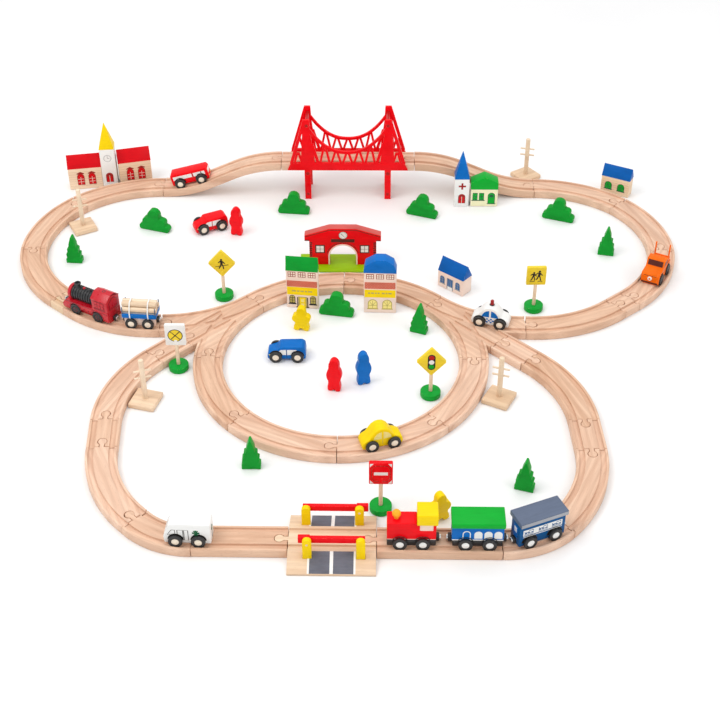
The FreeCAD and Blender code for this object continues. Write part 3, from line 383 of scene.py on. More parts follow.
# ------------------------------------------------------------ mesh builder
class Piece:
    """One visible piece, built in its own frame in millimetres."""

    def __init__(self, name, body, node, slot, x=0, y=0, a=0, z=0, pitch=0, roll=0):
        self.name, self.body, self.node, self.slot = name, body, node, slot
        self.x, self.y, self.z, self.a, self.p, self.r = x, y, z, a, pitch, roll
        self.v, self.f, self.fm, self.mats = [], [], [], []

    def mi(self, mat):
        if mat not in self.mats:
            self.mats.append(mat)
        return self.mats.index(mat)

    def take(self, bm, mat):
        off = len(self.v)
        bm.verts.index_update()
        self.v += [v.co.copy() for v in bm.verts]
        for f in bm.faces:
            self.f.append([off + v.index for v in f.verts])
            self.fm.append(self.mi(mat) if isinstance(mat, str) else self.mi(mat[f.material_index]))
        bm.free()

    def bevel(self, bm, w, seg=2, ang=28, test=None):
        if w <= 0:
            return
        ed = []
        for e_ in bm.edges:
            if len(e_.link_faces) == 2 and e_.calc_face_angle(0) > rad(ang) and (test is None or test(e_)):
                ed.append(e_)
        if ed:
            bmesh.ops.bevel(bm, geom=ed, offset=w, segments=seg, profile=0.5, affect="EDGES", clamp_overlap=True)

    def prism(self, pts, plane, lo, hi, mat, w=0.5, seg=2, top=None, ang=28):
        """Closed prism. plane 'xz' extrudes along y, 'yz' along x, 'xy' along z."""
        bm = bmesh.new()

        def P(u, v, t):
            return {"xz": (u, t, v), "yz": (t, u, v), "xy": (u, v, t)}[plane]
        a = [bm.verts.new(P(u, v, lo)) for u, v in pts]
        b = [bm.verts.new(P(u, v, hi)) for u, v in pts]
        n = len(pts)
        bm.faces.new(a)
        bm.faces.new(b[::-1])
        for i in range(n):
            bm.faces.new((a[i], a[(i + 1) % n], b[(i + 1) % n], b[i]))
        bmesh.ops.recalc_face_normals(bm, faces=bm.faces)
        self.bevel(bm, w, seg, ang)
        if top:
            for f in bm.faces:
                f.material_index = top(f.calc_center_median(), f.normal)
        self.take(bm, mat)
        return self

    def box(self, x0, x1, y0, y1, z0, z1, mat, w=0.5, seg=2):
        return self.prism([(x0, y0), (x1, y0), (x1, y1), (x0, y1)], "xy", z0, z1, mat, w, seg)

    def lathe(self, prof, axis, c, mat, n=40, cut=None):
        """Surface of revolution; prof is [(radius, along)] from axis to axis."""
        bm = bmesh.new()
        rings = []

        def P(r, t, u):
            q = (r * math.cos(u), r * math.sin(u))
            return {"y": (c[0] + q[0], c[1] + t, c[2] + q[1]), "x": (c[0] + t, c[1] + q[0], c[2] + q[1]), "z": (c[0] + q[0], c[1] + q[1], c[2] + t)}[axis]
        for r, t in prof:
            if r < 1e-6:
                rings.append([bm.verts.new(P(0, t, 0))])
            else:
                rings.append([bm.verts.new(P(r, t, 2 * math.pi * i / n)) for i in range(n)])
        for A, B in zip(rings, rings[1:]):
            for i in range(n):
                j = (i + 1) % n
                q = [A[i % len(A)], A[j % len(A)], B[j % len(B)], B[i % len(B)]]
                q = [v for k, v in enumerate(q) if v not in q[:k]]
                if len(q) > 2:
                    bm.faces.new(q)
        bmesh.ops.recalc_face_normals(bm, faces=bm.faces)
        self.take(bm, mat)
        return self

    def cyl(self, c, axis, r, l, mat, w=0.4, n=36):
        """Cylinder from c along +axis with rounded rims."""
        w = min(w, r * 0.6, l * 0.45)
        p = [(0, 0), (r - w, 0), (r - w * 0.3, w * 0.3), (r, w), (r, l - w), (r - w * 0.3, l - w * 0.3), (r - w, l), (0, l)]
        return self.lathe(p, axis, c, mat, n)

    def ball(self, c, r, mat, n=28):
        p = [(r * math.sin(math.pi * i / 16), -r * math.cos(math.pi * i / 16)) for i in range(17)]
        p[0], p[-1] = (0, -r), (0, r)
        return self.lathe(p, "z", c, mat, n)

    def strip(self, pts, t, plane, lo, hi, mat, w=0.0, closed=False):
        n = len(pts)
        up, dn = [], []
        for i, (x, z) in enumerate(pts):
            a, b = (pts[i - 1], pts[(i + 1) % n]) if closed else (pts[max(i - 1, 0)], pts[min(i + 1, n - 1)])
            dx, dz = b[0] - a[0], b[1] - a[1]
            l = math.hypot(dx, dz) or 1
            up.append((x - dz / l * t / 2, z + dx / l * t / 2))
            dn.append((x + dz / l * t / 2, z - dx / l * t / 2))
        if closed:
            for i in range(n):
                j = (i + 1) % n
                self.prism([up[i], up[j], dn[j], dn[i]], plane, lo, hi, mat, 0)
            return self
        return self.prism(up + dn[::-1], plane, lo, hi, mat, w)

    def deco(self, pts, side, mat, face, t=0.14, deep=0.35):
        """Thin printed layer on a face. side: '-y' '+y' '-x' '+x' '+z'; face: its position."""
        if side == "-y":
            return self.prism(pts, "xz", face - t, face + deep, mat, 0)
        if side == "+y":
            return self.prism(pts, "xz", face - deep, face + t, mat, 0)
        if side == "-x":
            return self.prism(pts, "yz", face - t, face + deep, mat, 0)
        if side == "+x":
            return self.prism(pts, "yz", face - deep, face + t, mat, 0)
        return self.prism(pts, "xy", face - deep, face + t, mat, 0)

    def done(self, auto=32):
        me = bpy.data.meshes.new(self.name)
        me.from_pydata([tuple(v * 0.001) for v in self.v], [], self.f)
        for i, k in enumerate(self.fm):
            me.polygons[i].material_index = k
        for k in self.mats:
            me.materials.append(MATS[k])
        me.shade_smooth()
        me.set_sharp_from_angle(angle=rad(auto))
        me.update()
        ob = bpy.data.objects.new(self.name, me)
        bpy.context.scene.collection.objects.link(ob)
        rot = Matrix.Rotation(rad(self.a), 4, "Z") @ Matrix.Rotation(-rad(self.p), 4, "Y")
        ob.matrix_world = Matrix.Translation((self.x / 1000, (self.y + OY) / 1000, self.z / 1000)) @ rot
        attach(ob, self.body)
        for nd in ([self.node] if isinstance(self.node, str) else self.node):
            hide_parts(nd)
        return ob


def rect(cx, cz, w, h_):
    return [(cx - w / 2, cz - h_ / 2), (cx + w / 2, cz - h_ / 2), (cx + w / 2, cz + h_ / 2), (cx - w / 2, cz + h_ / 2)]


def arch(cx, z0, w, h_, n=8):
    """Round-topped opening standing on z0."""
    r = w / 2
    s = min(r, h_)
    return [(cx - r, z0), (cx + r, z0)] + [(cx + r * math.cos(math.pi * i / n), z0 + h_ - s + s * math.sin(math.pi * i / n)) for i in range(n + 1)]


def circ(cx, cz, r, n=24, a0=0, a1=360):
    return [(cx + r * math.cos(rad(a0 + (a1 - a0) * i / n)), cz + r * math.sin(rad(a0 + (a1 - a0) * i / n))) for i in range(n if a1 - a0 == 360 else n + 1)]


# --------------------------------------------- boards: shaped from the frame
def boards(node, mat_of, width=0.45, body="layout"):
    """Splits a grouped track node into its boards, each with its own grain."""
    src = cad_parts[node].data
    bm = bmesh.new()
    bm.from_mesh(src)
    bmesh.ops.remove_doubles(bm, verts=bm.verts, dist=2e-6)
    seen, groups = set(), []
    bm.faces.ensure_lookup_table()
    for f in bm.faces:
        if f in seen:
            continue
        st, g = [f], []
        seen.add(f)
        while st:
            q = st.pop()
            g.append(q)
            for e_ in q.edges:
                for k in e_.link_faces:
                    if k not in seen:
                        seen.add(k)
                        st.append(k)
        groups.append(g)
    out = []
    groups.sort(key=lambda g: (round(sum(f.calc_center_median().x for f in g) / len(g), 3), round(sum(f.calc_center_median().y for f in g) / len(g), 3)))
    for i, g in enumerate(groups):
        vs = list({v for f in g for v in f.verts})
        n = len(vs)
        mx, my = sum(v.co.x for v in vs) / n, sum(v.co.y for v in vs) / n
        mz = min(v.co.z for v in vs)
        sxx = sum((v.co.x - mx) ** 2 for v in vs)
        syy = sum((v.co.y - my) ** 2 for v in vs)
        sxy = sum((v.co.x - mx) * (v.co.y - my) for v in vs)
        ang = 0.5 * math.atan2(2 * sxy, sxx - syy)
        M = Matrix.Translation((mx, my, mz)) @ Matrix.Rotation(ang, 4, "Z")
        inv = M.inverted()
        idx = {v: k for k, v in enumerate(vs)}
        me = bpy.data.meshes.new("%s_%d" % (node, i + 1))
        me.from_pydata([tuple(inv @ v.co) for v in vs], [], [[idx[v] for v in f.verts] for f in g])
        b2 = bmesh.new()
        b2.from_mesh(me)
        bmesh.ops.recalc_face_normals(b2, faces=b2.faces)
        bmesh.ops.dissolve_limit(b2, angle_limit=rad(0.6), verts=b2.verts, edges=b2.edges, delimit={"NORMAL"})
        ed = [e_ for e_ in b2.edges if len(e_.link_faces) == 2 and e_.calc_face_angle(0) > rad(38)]
        bmesh.ops.bevel(b2, geom=ed, offset=width / 1000, segments=2, profile=0.5, affect="EDGES", clamp_overlap=True)
        b2.to_mesh(me)
        b2.free()
        me.materials.append(MATS[mat_of(i)])
        me.shade_smooth()
        me.set_sharp_from_angle(angle=rad(30))
        ob = bpy.data.objects.new(me.name, me)
        bpy.context.scene.collection.objects.link(ob)
        ob.matrix_world = M
        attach(ob, body)
        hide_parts(node)
        out.append(ob)
    bm.free()
    return out


for nd in ("ring_curves", "switch_left", "switch_right", "lobe_curves_left", "lobe_curves_right", "lower_curves_left", "lower_curves_right", "ramp_tracks", "bridge_deck"):
    boards(nd, lambda i: "beech")
boards("straight_tracks", lambda i: "beech_pale" if i in (0,) else "beech")
boards("bridge_trusses", lambda i: "red", 0.5)
boards("bridge_cross_ties", lambda i: "red_dark", 0.4)

# ---------------------------------------------------------- level crossing
crossing = boards("crossing_base", lambda i: "beech_pale", 0.4)[0]
# paint on the sloped approaches: grey road with white lines, both sides
slope = math.atan2(TRACKH := 12.0 - 2.5, 47.5 - 20.0)
for sg, tag in ((-1, "front"), (1, "rear")):
    P = Piece("road_paint_" + tag, "layout", "crossing_base", "beech_light", CXM, CY, 0 if sg < 0 else 180)
    L = math.hypot(27.5, 9.5)
    # local frame of the slope: u along x, v down the slope from the track edge

    def quad(x0, x1, v0, v1, mat, t):
        bm = bmesh.new()
        pts = []
        for lo in (-0.3, t):
            for (u, v) in ((x0, v0), (x1, v0), (x1, v1), (x0, v1)):
                y = -20.0 - v * math.cos(slope) - lo * math.sin(slope)
                z = 12.0 - v * math.sin(slope) + lo * math.cos(slope)
                pts.append(bm.verts.new((u, y, z)))
        a, b = pts[:4], pts[4:]
        bm.faces.new(a)
        bm.faces.new(b[::-1])
        for i in range(4):
            bm.faces.new((a[i], a[(i + 1) % 4], b[(i + 1) % 4], b[i]))
        bmesh.ops.recalc_face_normals(bm, faces=bm.faces)
        P.take(bm, mat)
    quad(-25.6, -2.0, 0.1, L - 0.6, "asphalt", 0.12)
    quad(2.0, 25.6, 0.1, L - 0.6, "asphalt", 0.12)
    quad(-2.0, 2.0, 0.1, L - 0.6, "white", 0.14)
    quad(-28.0, -25.6, 0.1, L - 0.6, "white", 0.14)
    quad(25.6, 28.0, 0.1, L - 0.6, "white", 0.14)
    P.done()

# -------------------------------------------------------- posts and gates
PY, PT, PTOP, PZ = 26.0, 6.4, 38.0, 31.0
PX = {(-1, 1): -31.5, (1, 1): 31.5, (-1, -1): -28.2, (1, -1): 33.8}
k = 0
for sx in (-1, 1):
    for sy in (-1, 1):
        k += 1
        P = Piece("gate_post_%d" % k, "layout", "gate_posts", "yellow_paint", CXM + PX[(sx, sy)], CY + sy * PY)
        r = 5.3
        P.prism([(-r, 4), (r, 4)] + circ(0, PTOP - r, r, 14, 0, 180), "xz", -PT / 2, PT / 2, "yellow", 0.6)
        P.done()
for tag, sx in (("rear", 1), ("front", -1)):
    ya = CY + (PY if tag == "rear" else -PY) + PT / 2 + 0.8 + 2.5
    P = Piece("gate_arm_" + tag, tag + "_gate", "gate_arm_" + tag, "red_paint", CXM + PX[(sx, sx)], ya)
    x0, x1 = sorted((-67.0 * sx, -3.4 * sx))
    P.box(x0, x1, -2.5, 2.5, 27, 35, "red", 0.6)
    wx0, wx1 = sorted((-3.5 * sx, 10.5 * sx))
    P.box(wx0, wx1, -2.5, 3.3, 26.4, 36.0, "red", 0.9, 3)
    P.cyl((0, -2.5 - 0.8 - PT - 0.6, PZ), "y", 1.5, 2.5 + 0.8 + PT + 0.6 + 3.6, "peg_wood", 0.4)
    P.cyl((0, 3.2, PZ), "y", 2.3, 0.5, "peg_wood", 0.2)
    P.done()

# ------------------------------------------------------------------ station
P = Piece("station_plate", "layout", "station_base", "green_paint", -3, 240)
P.box(-65, 65, -22.5, 22.5, 0, 3.5, "lime", 0.9, 3)
P.done()
P = Piece("station_front", "layout", "station_building", "red_paint", -3, 240, 0, 3.5)
outer = [(-50, 0), (-19.5, 0)] + [(19.5 * math.cos(rad(180 - i * 12)), 15.0 + 19.5 * math.sin(rad(180 - i * 12))) for i in range(16)] + [(19.5, 0), (50, 0), (50, 42), (57, 42), (57, 52), (20, 64), (-20, 64), (-57, 52), (-57, 42), (-50, 42)]
# front and back faces red; top faces a paler, duller red as painted light, and the side and under faces a darker red as
# painted shade, picked by face direction
P.prism(outer, "xz", -6.5, 6.5, ["red", "red_top", "red_dark"], 0.7, 2, top=lambda c, n: 1 if (n.z > 0.6 and c.z > 45) else (2 if abs(n.y) < 0.4 and n.z < 0.6 else 0))
for sg, side in ((-1, "-y"), (1, "+y")):
    f = 6.5 * sg
    # rim around the arch
    ro, ri = 21.8, 19.7
    rim = [(-ro, 0.5)] + [(ro * math.cos(rad(180 - i * 10)), 15 + ro * math.sin(rad(180 - i * 10))) for i in range(19)] + [(ro, 0.5), (ri, 0.5)] + [(ri * math.cos(rad(i * 10)), 15 + ri * math.sin(rad(i * 10))) for i in range(19)] + [(-ri, 0.5)]
    P.deco(rim, side, "pink", f, 0.30)
    ro, ri = 24.6, 23.6
    rim = [(ro * math.cos(rad(168 - i * 9)), 15 + ro * math.sin(rad(168 - i * 9))) for i in range(18)] + [(ri * math.cos(rad(15 + i * 9)), 15 + ri * math.sin(rad(15 + i * 9))) for i in range(18)]
    P.deco(rim, side, "brown_ink", f)
    P.deco(rect(0, 43.0, 35, 5.6), side, "brown_ink", f, 0.18)
    P.deco(circ(0.5, 52.5, 6.6), side, "brown_ink", f, 0.16)
    P.deco(circ(0.5, 52.5, 6.0), side, "white", f, 0.24)
    P.deco([(0.1, 52.2), (0.9, 52.2), (-2.6, 55.9), (-3.0, 55.4)], side, "black_ink", f, 0.32)
    P.deco([(0.1, 52.6), (0.7, 52.2), (2.6, 50.2), (2.2, 49.8)], side, "black_ink", f, 0.32)
    for i in range(12):
        a = rad(i * 30)
        P.deco(circ(0.5 + 5.0 * math.cos(a), 52.5 + 5.0 * math.sin(a), 0.38, 8), side, "black_ink", f, 0.30)
    for cx in (-34.0, 32.5):
        P.deco(rect(cx, 28.2, 14.6, 14.6), side, "brown_ink", f, 0.14)
        for dx in (-2.9, 2.9):
            for dz in (-2.9, 2.9):
                P.deco(rect(cx + dx, 28.2 + dz, 5.2, 5.2), side, "white", f, 0.26)
    # log ends down both corners
    for sx in (-1, 1):
        for i in range(12):
            P.deco(rect(sx * 47.9, 2.2 + 3.35 * i, 4.2, 1.9), side, "black_ink", f, 0.16)
        P.deco([(sx * 56.6, 42.4), (sx * 56.6, 44.0), (sx * 50.3, 44.0), (sx * 50.3, 42.4)][::sx], side, "brown_ink", f, 0.14)
        line = [(sx * 56.6, 49.6), (sx * 20, 61.4), (0, 61.4)]
        P.strip(line, 0.9, "xz", *((f - 0.14, f + 0.3) if sg < 0 else (f - 0.3, f + 0.14)), "brown_ink")
P.done()


# -------------------------------------------------------------- town blocks
def gable_x(P, w, d, he, hr, wall, roof, over=0.0):
    P.prism([(0, 0), (d, 0), (d, he), (d / 2, hr), (0, he)], "yz", 0, w, [wall, roof], 0.7, 2,
            top=lambda c, n: 1 if (c.z > he - 0.8 and (n.z > 0.12 or abs(n.x) > 0.5) and c.z > he) else 0)
    # painted band so the roof colour covers the gable ends and both slopes
    t = 0.22
    P.prism([(-t, he), (d + t, he), (d / 2 + t * 0.3, hr + t * 0.7), (d / 2 - t * 0.3, hr + t * 0.7)], "yz", -t, w + t, roof, 0.5)


def window(P, side, f, cx, z0, w, h_, frame_, pane, arched=True, bars=(1, 1), t=0.12, sill=True):
    P.deco(arch(cx, z0, w, h_) if arched else rect(cx, z0 + h_ / 2, w, h_), side, frame_, f, t)
    n, m_ = bars
    iw = (w - 1.2) / (n + 1)
    for i in range(n + 1):
        x = cx - (w - 1.2) / 2 + iw * (i + 0.5)
        hh = (h_ - (w / 2 if arched else 0) - 0.8) / (m_ + 1)
        for j in range(m_ + 1):
            P.deco(rect(x, z0 + 0.7 + hh * (j + 0.5), iw - 0.7, hh - 0.7), side, pane, f, t + 0.1)
        if arched:
            r = w / 2 - 0.9
            a0, a1 = (0, 180) if n == 0 else ((90, 180) if i == 0 else (0, 90) if i == n else (60, 120))
            seg = [(cx + (0.35 if a0 == 0 else -0.35) * (n > 0), z0 + h_ - w / 2 + 0.35)] + [(cx + r * math.cos(rad(a)) * 0.98, z0 + h_ - w / 2 + 0.35 + (r - 0.2) * math.sin(rad(a))) for a in range(a0 + 4, a1 - 3, 10)]
            if len(seg) > 3:
                P.deco(seg, side, pane, f, t + 0.1)
    if sill:
        P.deco(rect(cx, z0 - 0.5, w + 1.6, 1.1), side, frame_, f, t + 0.05)


def faces(d):
    return (("-y", 0.0), ("+y", d))


# bank: pale walls, brick band, yellow band
w, d, he, hr = 46, 10, 64, 86
P = Piece("town_block_left_house", "layout", "town_blocks", "multi_print", -81.5, 130, -6)
gable_x(P, w, d, he, hr, "pink", "green")
for side, f in faces(d):
    P.deco([(0.9, 22.8), (w - 0.9, 22.8), (w - 0.9, 36.4), (0.9, 36.4)], side, "yellow", f)
    for x0_, x1_, z_ in ((8.0, 14.0, 28.4), (15.6, 18.8, 28.4), (20.4, 25.4, 28.4), (27.0, 29.6, 28.4), (31.2, 37.6, 28.4)):
        P.deco([(x0_, z_), (x1_, z_), (x1_, z_ + 2.2), (x0_, z_ + 2.2)], side, "lattice", f, 0.2)
    P.deco([(0.9, 36.8), (w - 0.9, 36.8), (w - 0.9, 47.8), (0.9, 47.8)], side, "mortar", f, 0.08)
    for r_ in range(5):
        for c_ in range(11 + r_ % 2):
            bw = (w - 3) / 11
            x = 1.5 + bw * (c_ + 0.5) - (bw / 2 if r_ % 2 else 0)
            x0, x1 = max(1.0, x - bw / 2 + 0.28), min(w - 1.0, x + bw / 2 - 0.28)
            if x1 - x0 > 0.6:
                P.deco([(x0, 37.4 + 2.0 * r_), (x1, 37.4 + 2.0 * r_), (x1, 39.0 + 2.0 * r_), (x0, 39.0 + 2.0 * r_)], side, "brick", f, 0.2)
    for gx_ in (8.5, 23.0, 37.4):
        P.deco(rect(gx_, 58.2, 11.0, 8.8), side, "maroon", f, 0.1)
        for dx in (-3.4, 0.0, 3.4):
            for dz in (-2.0, 2.0):
                P.deco(rect(gx_ + dx, 58.2 + dz, 2.5, 2.9), side, "cream", f, 0.18)
    for cx in (8.2, 38.4):
        window(P, side, f, cx, 8.0, 8.8, 14.0, "black_ink", "lattice", True, (1, 1))
        P.deco(rect(cx, 6.6, 11.8, 1.5), side, "black_ink", f, 0.22)
    P.deco(rect(23.2, 10.0, 12.5, 19.6), side, "lattice", f, 0.12)
    P.deco(rect(23.2, 9.7, 8.2, 17.4), side, "yellow", f, 0.22)
    P.deco(rect(23.2, 13.2, 4.4, 5.2), side, "yellow_pale", f, 0.3)
    P.deco(rect(23.2, 5.8, 4.4, 4.8), side, "yellow_pale", f, 0.3)
    for sx in (-1, 1):
        P.deco(rect(23.2 + sx * 7.3, 9.8, 1.3, 18.0), side, "black_ink", f, 0.26)
        P.deco(rect(23.2 + sx * 7.6, 1.4, 3.6, 1.3), side, "black_ink", f, 0.26)
P.done()

# post house: gambrel front
w, d, he, hr = 46, 18, 70, 90
P = Piece("town_block_right_house", "layout", "town_blocks", "multi_print", 30, 118, -2)
g = [(0, 0), (w, 0), (w, he + 2), (w - 4, hr - 7), (w * 0.66, hr), (w * 0.36, hr), (2, hr - 9), (0, he + 2)]
P.prism(g, "xz", 0, d, ["pink", "blue"], 0.7, 2, top=lambda c, n: 1 if c.z > he + 3 and abs(n.y) < 0.7 else 0)
gr = [(-0.2, he - 1.5), (w + 0.2, he - 1.5), (w + 0.2, he + 2), (w - 4 + 0.15, hr - 7 + 0.15), (w * 0.66, hr + 0.22), (w * 0.36, hr + 0.22), (2 - 0.15, hr - 9 + 0.15), (-0.2, he + 2)]
P.prism(gr, "xz", -0.2, d + 0.2, "blue", 0.5)
for side, f in faces(d):
    P.deco([(0.9, 26.8), (w - 0.9, 26.8), (w - 0.9, 40.0), (0.9, 40.0)], side, "yellow", f)
    P.deco([(0.9, 41.4), (w - 0.9, 41.4), (w - 0.9, 53.4), (0.9, 53.4)], side, "mortar", f, 0.08)
    for x0_, x1_ in ((6.0, 9.0), (10.4, 14.6), (16.0, 18.4), (19.8, 22.4), (25.6, 29.8), (31.2, 33.6), (35.0, 39.6)):
        P.deco([(x0_, 33.0), (x1_, 33.0), (x1_, 35.4), (x0_, 35.4)], side, "lattice", f, 0.2)
    for r_ in range(5):
        for c_ in range(11 + r_ % 2):
            bw = (w - 3) / 11
            x = 1.5 + bw * (c_ + 0.5) - (bw / 2 if r_ % 2 else 0)
            x0, x1 = max(1.0, x - bw / 2 + 0.28), min(w - 1.0, x + bw / 2 - 0.28)
            if x1 - x0 > 0.6:
                P.deco([(x0, 42.2 + 2.15 * r_), (x1, 42.2 + 2.15 * r_), (x1, 43.9 + 2.15 * r_), (x0, 43.9 + 2.15 * r_)], side, "brick", f, 0.2)
    for gx_ in (8.8, 23.0, 37.4):
        for dx in (-3.3, 0.0, 3.3):
            for dz in (0.0, 3.6):
                P.deco(rect(gx_ + dx, 60.9 + dz, 2.5, 2.8), side, "cream", f, 0.18)
        P.deco(rect(gx_, 62.8, 11.0, 8.4), side, "maroon", f, 0.1)
    for cx in (12.6, 33.4):
        r_ = 7.0
        P.deco(arch(cx, 7.3, 14.0, 15.9, 12), side, "lattice", f, 0.12)
        P.deco(arch(cx, 8.1, 11.6, 13.8, 12), side, "yellow_pale", f, 0.2)
        P.deco(rect(cx, 14.3, 0.8, 12.8), side, "lattice", f, 0.28)
        P.deco(rect(cx, 12.6, 11.6, 0.8), side, "lattice", f, 0.28)
        for sx in (-1, 1):
            P.strip([(cx, 12.6), (cx + sx * 4.2, 19.0)], 0.7, "xz", *((f - 0.28, f + 0.3) if side == "-y" else (f - 0.3, f + 0.28)), "lattice")
        P.deco(rect(cx, 6.6, 16.0, 1.4), side, "lattice", f, 0.2)
P.done()


def planks(P, side, f, w, z0, z1, n, mat="pink"):
    for i in range(1, n):
        P.deco(rect(w / 2, z0 + (z1 - z0) * i / n, w - 2.0, 0.35), side, mat, f, 0.06)


# church: two naves and a tower with a spire
for tag, (w, d, he, hr, x, y, a), rm in (("church_left", (54, 24, 38, 58, -457, 451.5, 10), "church_red"), ("church_right", (53, 24, 40, 60, -376.3, 466.9, 14.5), "church_red")):
    P = Piece(tag, "layout", "town_blocks", "multi_print", x, y, a)
    gable_x(P, w, d, he, hr, "plank", rm)
    for side, f in faces(d):
        planks(P, side, f, w, 2, he - 2, 8, "log_line")
        c0, c1 = (w * 0.36, w * 0.70) if tag.endswith("left") else (w * 0.34, w * 0.69)
        for cx in (c0, c1):
            P.deco(arch(cx, 7.6, 11.8, 21.0, 12), side, "maroon", f, 0.12)
            P.deco(arch(cx, 8.8, 9.8, 18.8, 12), side, "church_red", f, 0.18)
            P.deco(rect(cx, 15.6, 0.7, 13.6), side, "pink", f, 0.26)
            for z_ in (13.4, 18.6):
                P.deco(rect(cx, z_, 9.4, 0.7), side, "pink", f, 0.26)
            P.deco(rect(cx, 28.6, 12.0, 1.5), side, "maroon", f, 0.2)
            P.deco([(cx - 5.6, 29.3), (cx + 5.6, 29.3), (cx, 32.0)], side, "maroon", f, 0.2)
    P.done()


def spire_block(name, w, d, zb, zt, x, y, a, body_col, roof_col):
    P = Piece(name, "layout", "town_blocks", "multi_print", x, y, a)
    P.box(0, w, 0, d, 0, zb, body_col, 0.7)
    bm = bmesh.new()
    e_ = 0.2
    c = [bm.verts.new(q) for q in ((-e_, -e_, zb - 0.6), (w + e_, -e_, zb - 0.6), (w + e_, d + e_, zb - 0.6), (-e_, d + e_, zb - 0.6))]
    m_ = [bm.verts.new(q) for q in ((-e_, -e_, zb + 0.6), (w + e_, -e_, zb + 0.6), (w + e_, d + e_, zb + 0.6), (-e_, d + e_, zb + 0.6))]
    t = bm.verts.new((w / 2, d / 2, zt))
    bm.faces.new(c)
    for i in range(4):
        bm.faces.new((c[i], c[(i + 1) % 4], m_[(i + 1) % 4], m_[i]))
        bm.faces.new((m_[i], m_[(i + 1) % 4], t))
    bmesh.ops.recalc_face_normals(bm, faces=bm.faces)
    P.bevel(bm, 0.5, 2, 20)
    P.take(bm, roof_col)
    return P


P = spire_block("church_tower", 24, 22, 69.5, 113.7, -403.6, 461, 6, "white", "yellow")
for side, f in faces(22):
    P.deco(circ(12.0, 53, 6.2), side, "grey_ink", f, 0.10)
    P.deco(circ(12.0, 53, 5.6), side, "white", f, 0.16)
    P.deco(rect(12.0, 55.2, 0.7, 4.2), side, "grey_ink", f, 0.24)
    P.deco(rect(13.7, 53.0, 3.0, 0.7), side, "grey_ink", f, 0.24)
    for i in range(12):
        P.deco(circ(12.0 + 4.7 * math.cos(rad(30 * i)), 53 + 4.7 * math.sin(rad(30 * i)), 0.3, 6), side, "grey_ink", f, 0.22)
    P.deco(arch(12.0, 9.0, 12.0, 17.5), side, "maroon", f, 0.12)
    for sx in (-1, 1):
        P.deco(rect(12.0 + sx * 2.5, 14.6, 3.4, 9.0), side, "church_red", f, 0.2)
    P.deco(rect(12.0, 15.0, 0.8, 12.5), side, "cream", f, 0.24)
P.done()

P = spire_block("clinic_tower", 23, 22, 50, 96.2, 170.5, 405, 0, "white", "blue")
for side, f in faces(22):
    P.deco(rect(12.0, 37.0, 3.0, 11.5), side, "maroon", f, 0.14)
    P.deco(rect(12.0, 37.0, 11.5, 3.0), side, "maroon", f, 0.16)
    P.deco(arch(11.8, 6.0, 11.4, 17.0), side, "maroon", f, 0.12)
    for sx in (-1, 1):
        P.deco(rect(11.8 + sx * 2.5, 8.9, 3.2, 4.2), side, "church_red", f, 0.2)
        P.deco(rect(11.8 + sx * 2.5, 14.6, 3.2, 4.6), side, "church_red", f, 0.2)
    P.deco(rect(11.8, 12.2, 0.7, 12.0), side, "cream", f, 0.24)
P.done()

w, d, he, hr = 43, 20, 31, 53
P = Piece("clinic_house", "layout", "town_blocks", "multi_print", 196.5, 405, 0)
hm = he + (hr - he) * 0.55
P.prism([(0, 0), (w, 0), (w, hm), (w / 2, hr), (0, hm)], "xz", 0, d, "cream", 0.7)
P.prism([(-0.2, he), (w + 0.2, he), (w + 0.2, hm), (w / 2, hr + 0.2), (-0.2, hm)], "xz", -0.2, d + 0.2, "green_roof", 0.6)
for side, f in faces(d):
    P.deco([(0.8, 1.0), (w - 0.8, 1.0), (w - 0.8, he - 0.6), (0.8, he - 0.6)], side, "yellow_pale2", f, 0.06)
    for cx in (7.0, 17.2):
        P.deco(rect(cx, 18.5, 8.0, 13.0), side, "green_ink", f, 0.14)
        for dx in (-1.8, 1.8):
            for dz in (-3.0, 3.0):
                P.deco(rect(cx + dx, 18.5 + dz, 2.7, 4.9), side, "green_roof", f, 0.22)
    P.deco(rect(12.1, 11.2, 21.0, 1.4), side, "green_ink", f, 0.2)
    P.deco(arch(33.0, 5.5, 11.5, 20.0, 12), side, "green_ink", f, 0.14)
    P.deco(arch(33.0, 6.0, 9.6, 18.4, 12), side, "green_roof", f, 0.22)
    P.deco(arch(33.0, 17.2, 6.4, 5.2, 8), side, "green_ink", f, 0.28)
    P.deco(rect(33.0, 5.0, 13.6, 1.1), side, "green_ink", f, 0.2)
P.done()

for name, (w, d, he, hr, x, y, a), wc, rc in (("house_back_right", (47, 18, 30, 48, 409.5, 453, -27), "plank", "blue_roof"), ("house_middle", (46, 21, 27, 47, 138, 187, -40), "pink", "blue_roof")):
    P = Piece(name, "layout", "town_blocks", "multi_print", x, y, a)
    gable_x(P, w, d, he, hr, wc, rc)
    for side, f in faces(d):
        if name == "house_back_right":
            planks(P, side, f, w, 1, he - 1, 7, "log_line")
            for cx in (12.5, 33.5):
                window(P, side, f, cx, 8.5, 12.0, 13.5, "green_ink", "green_roof", True, (1, 1))
        else:
            for cx in (8.5, 36.5):
                window(P, side, f, cx, 7.5, 9.0, 13.0, "grey_ink", "blue_ink", True, (1, 1))
            P.deco(rect(22.5, 11.0, 11.5, 19.0), side, "grey_ink", f, 0.12)
            for sx in (-1, 0, 1):
                P.deco(rect(22.5 + sx * 3.2, 13.5, 2.4, 12.5), side, "blue_ink", f, 0.2)
            P.deco(rect(22.5, 3.6, 8.4, 5.0), side, "white", f, 0.2)
    P.done()

# -------------------------------------------------------------------- trees
BUSHES = ((-300.5, 335, -18), (-85, 386, -6), (119, 379, -20), (333.5, 369, -20), (-9.0, 114, -10))
PINES = ((-411.5, 245, -4), (396, 272, -12), (108.5, 74, -20), (-106.5, -208, 1), (232, -243, -17))


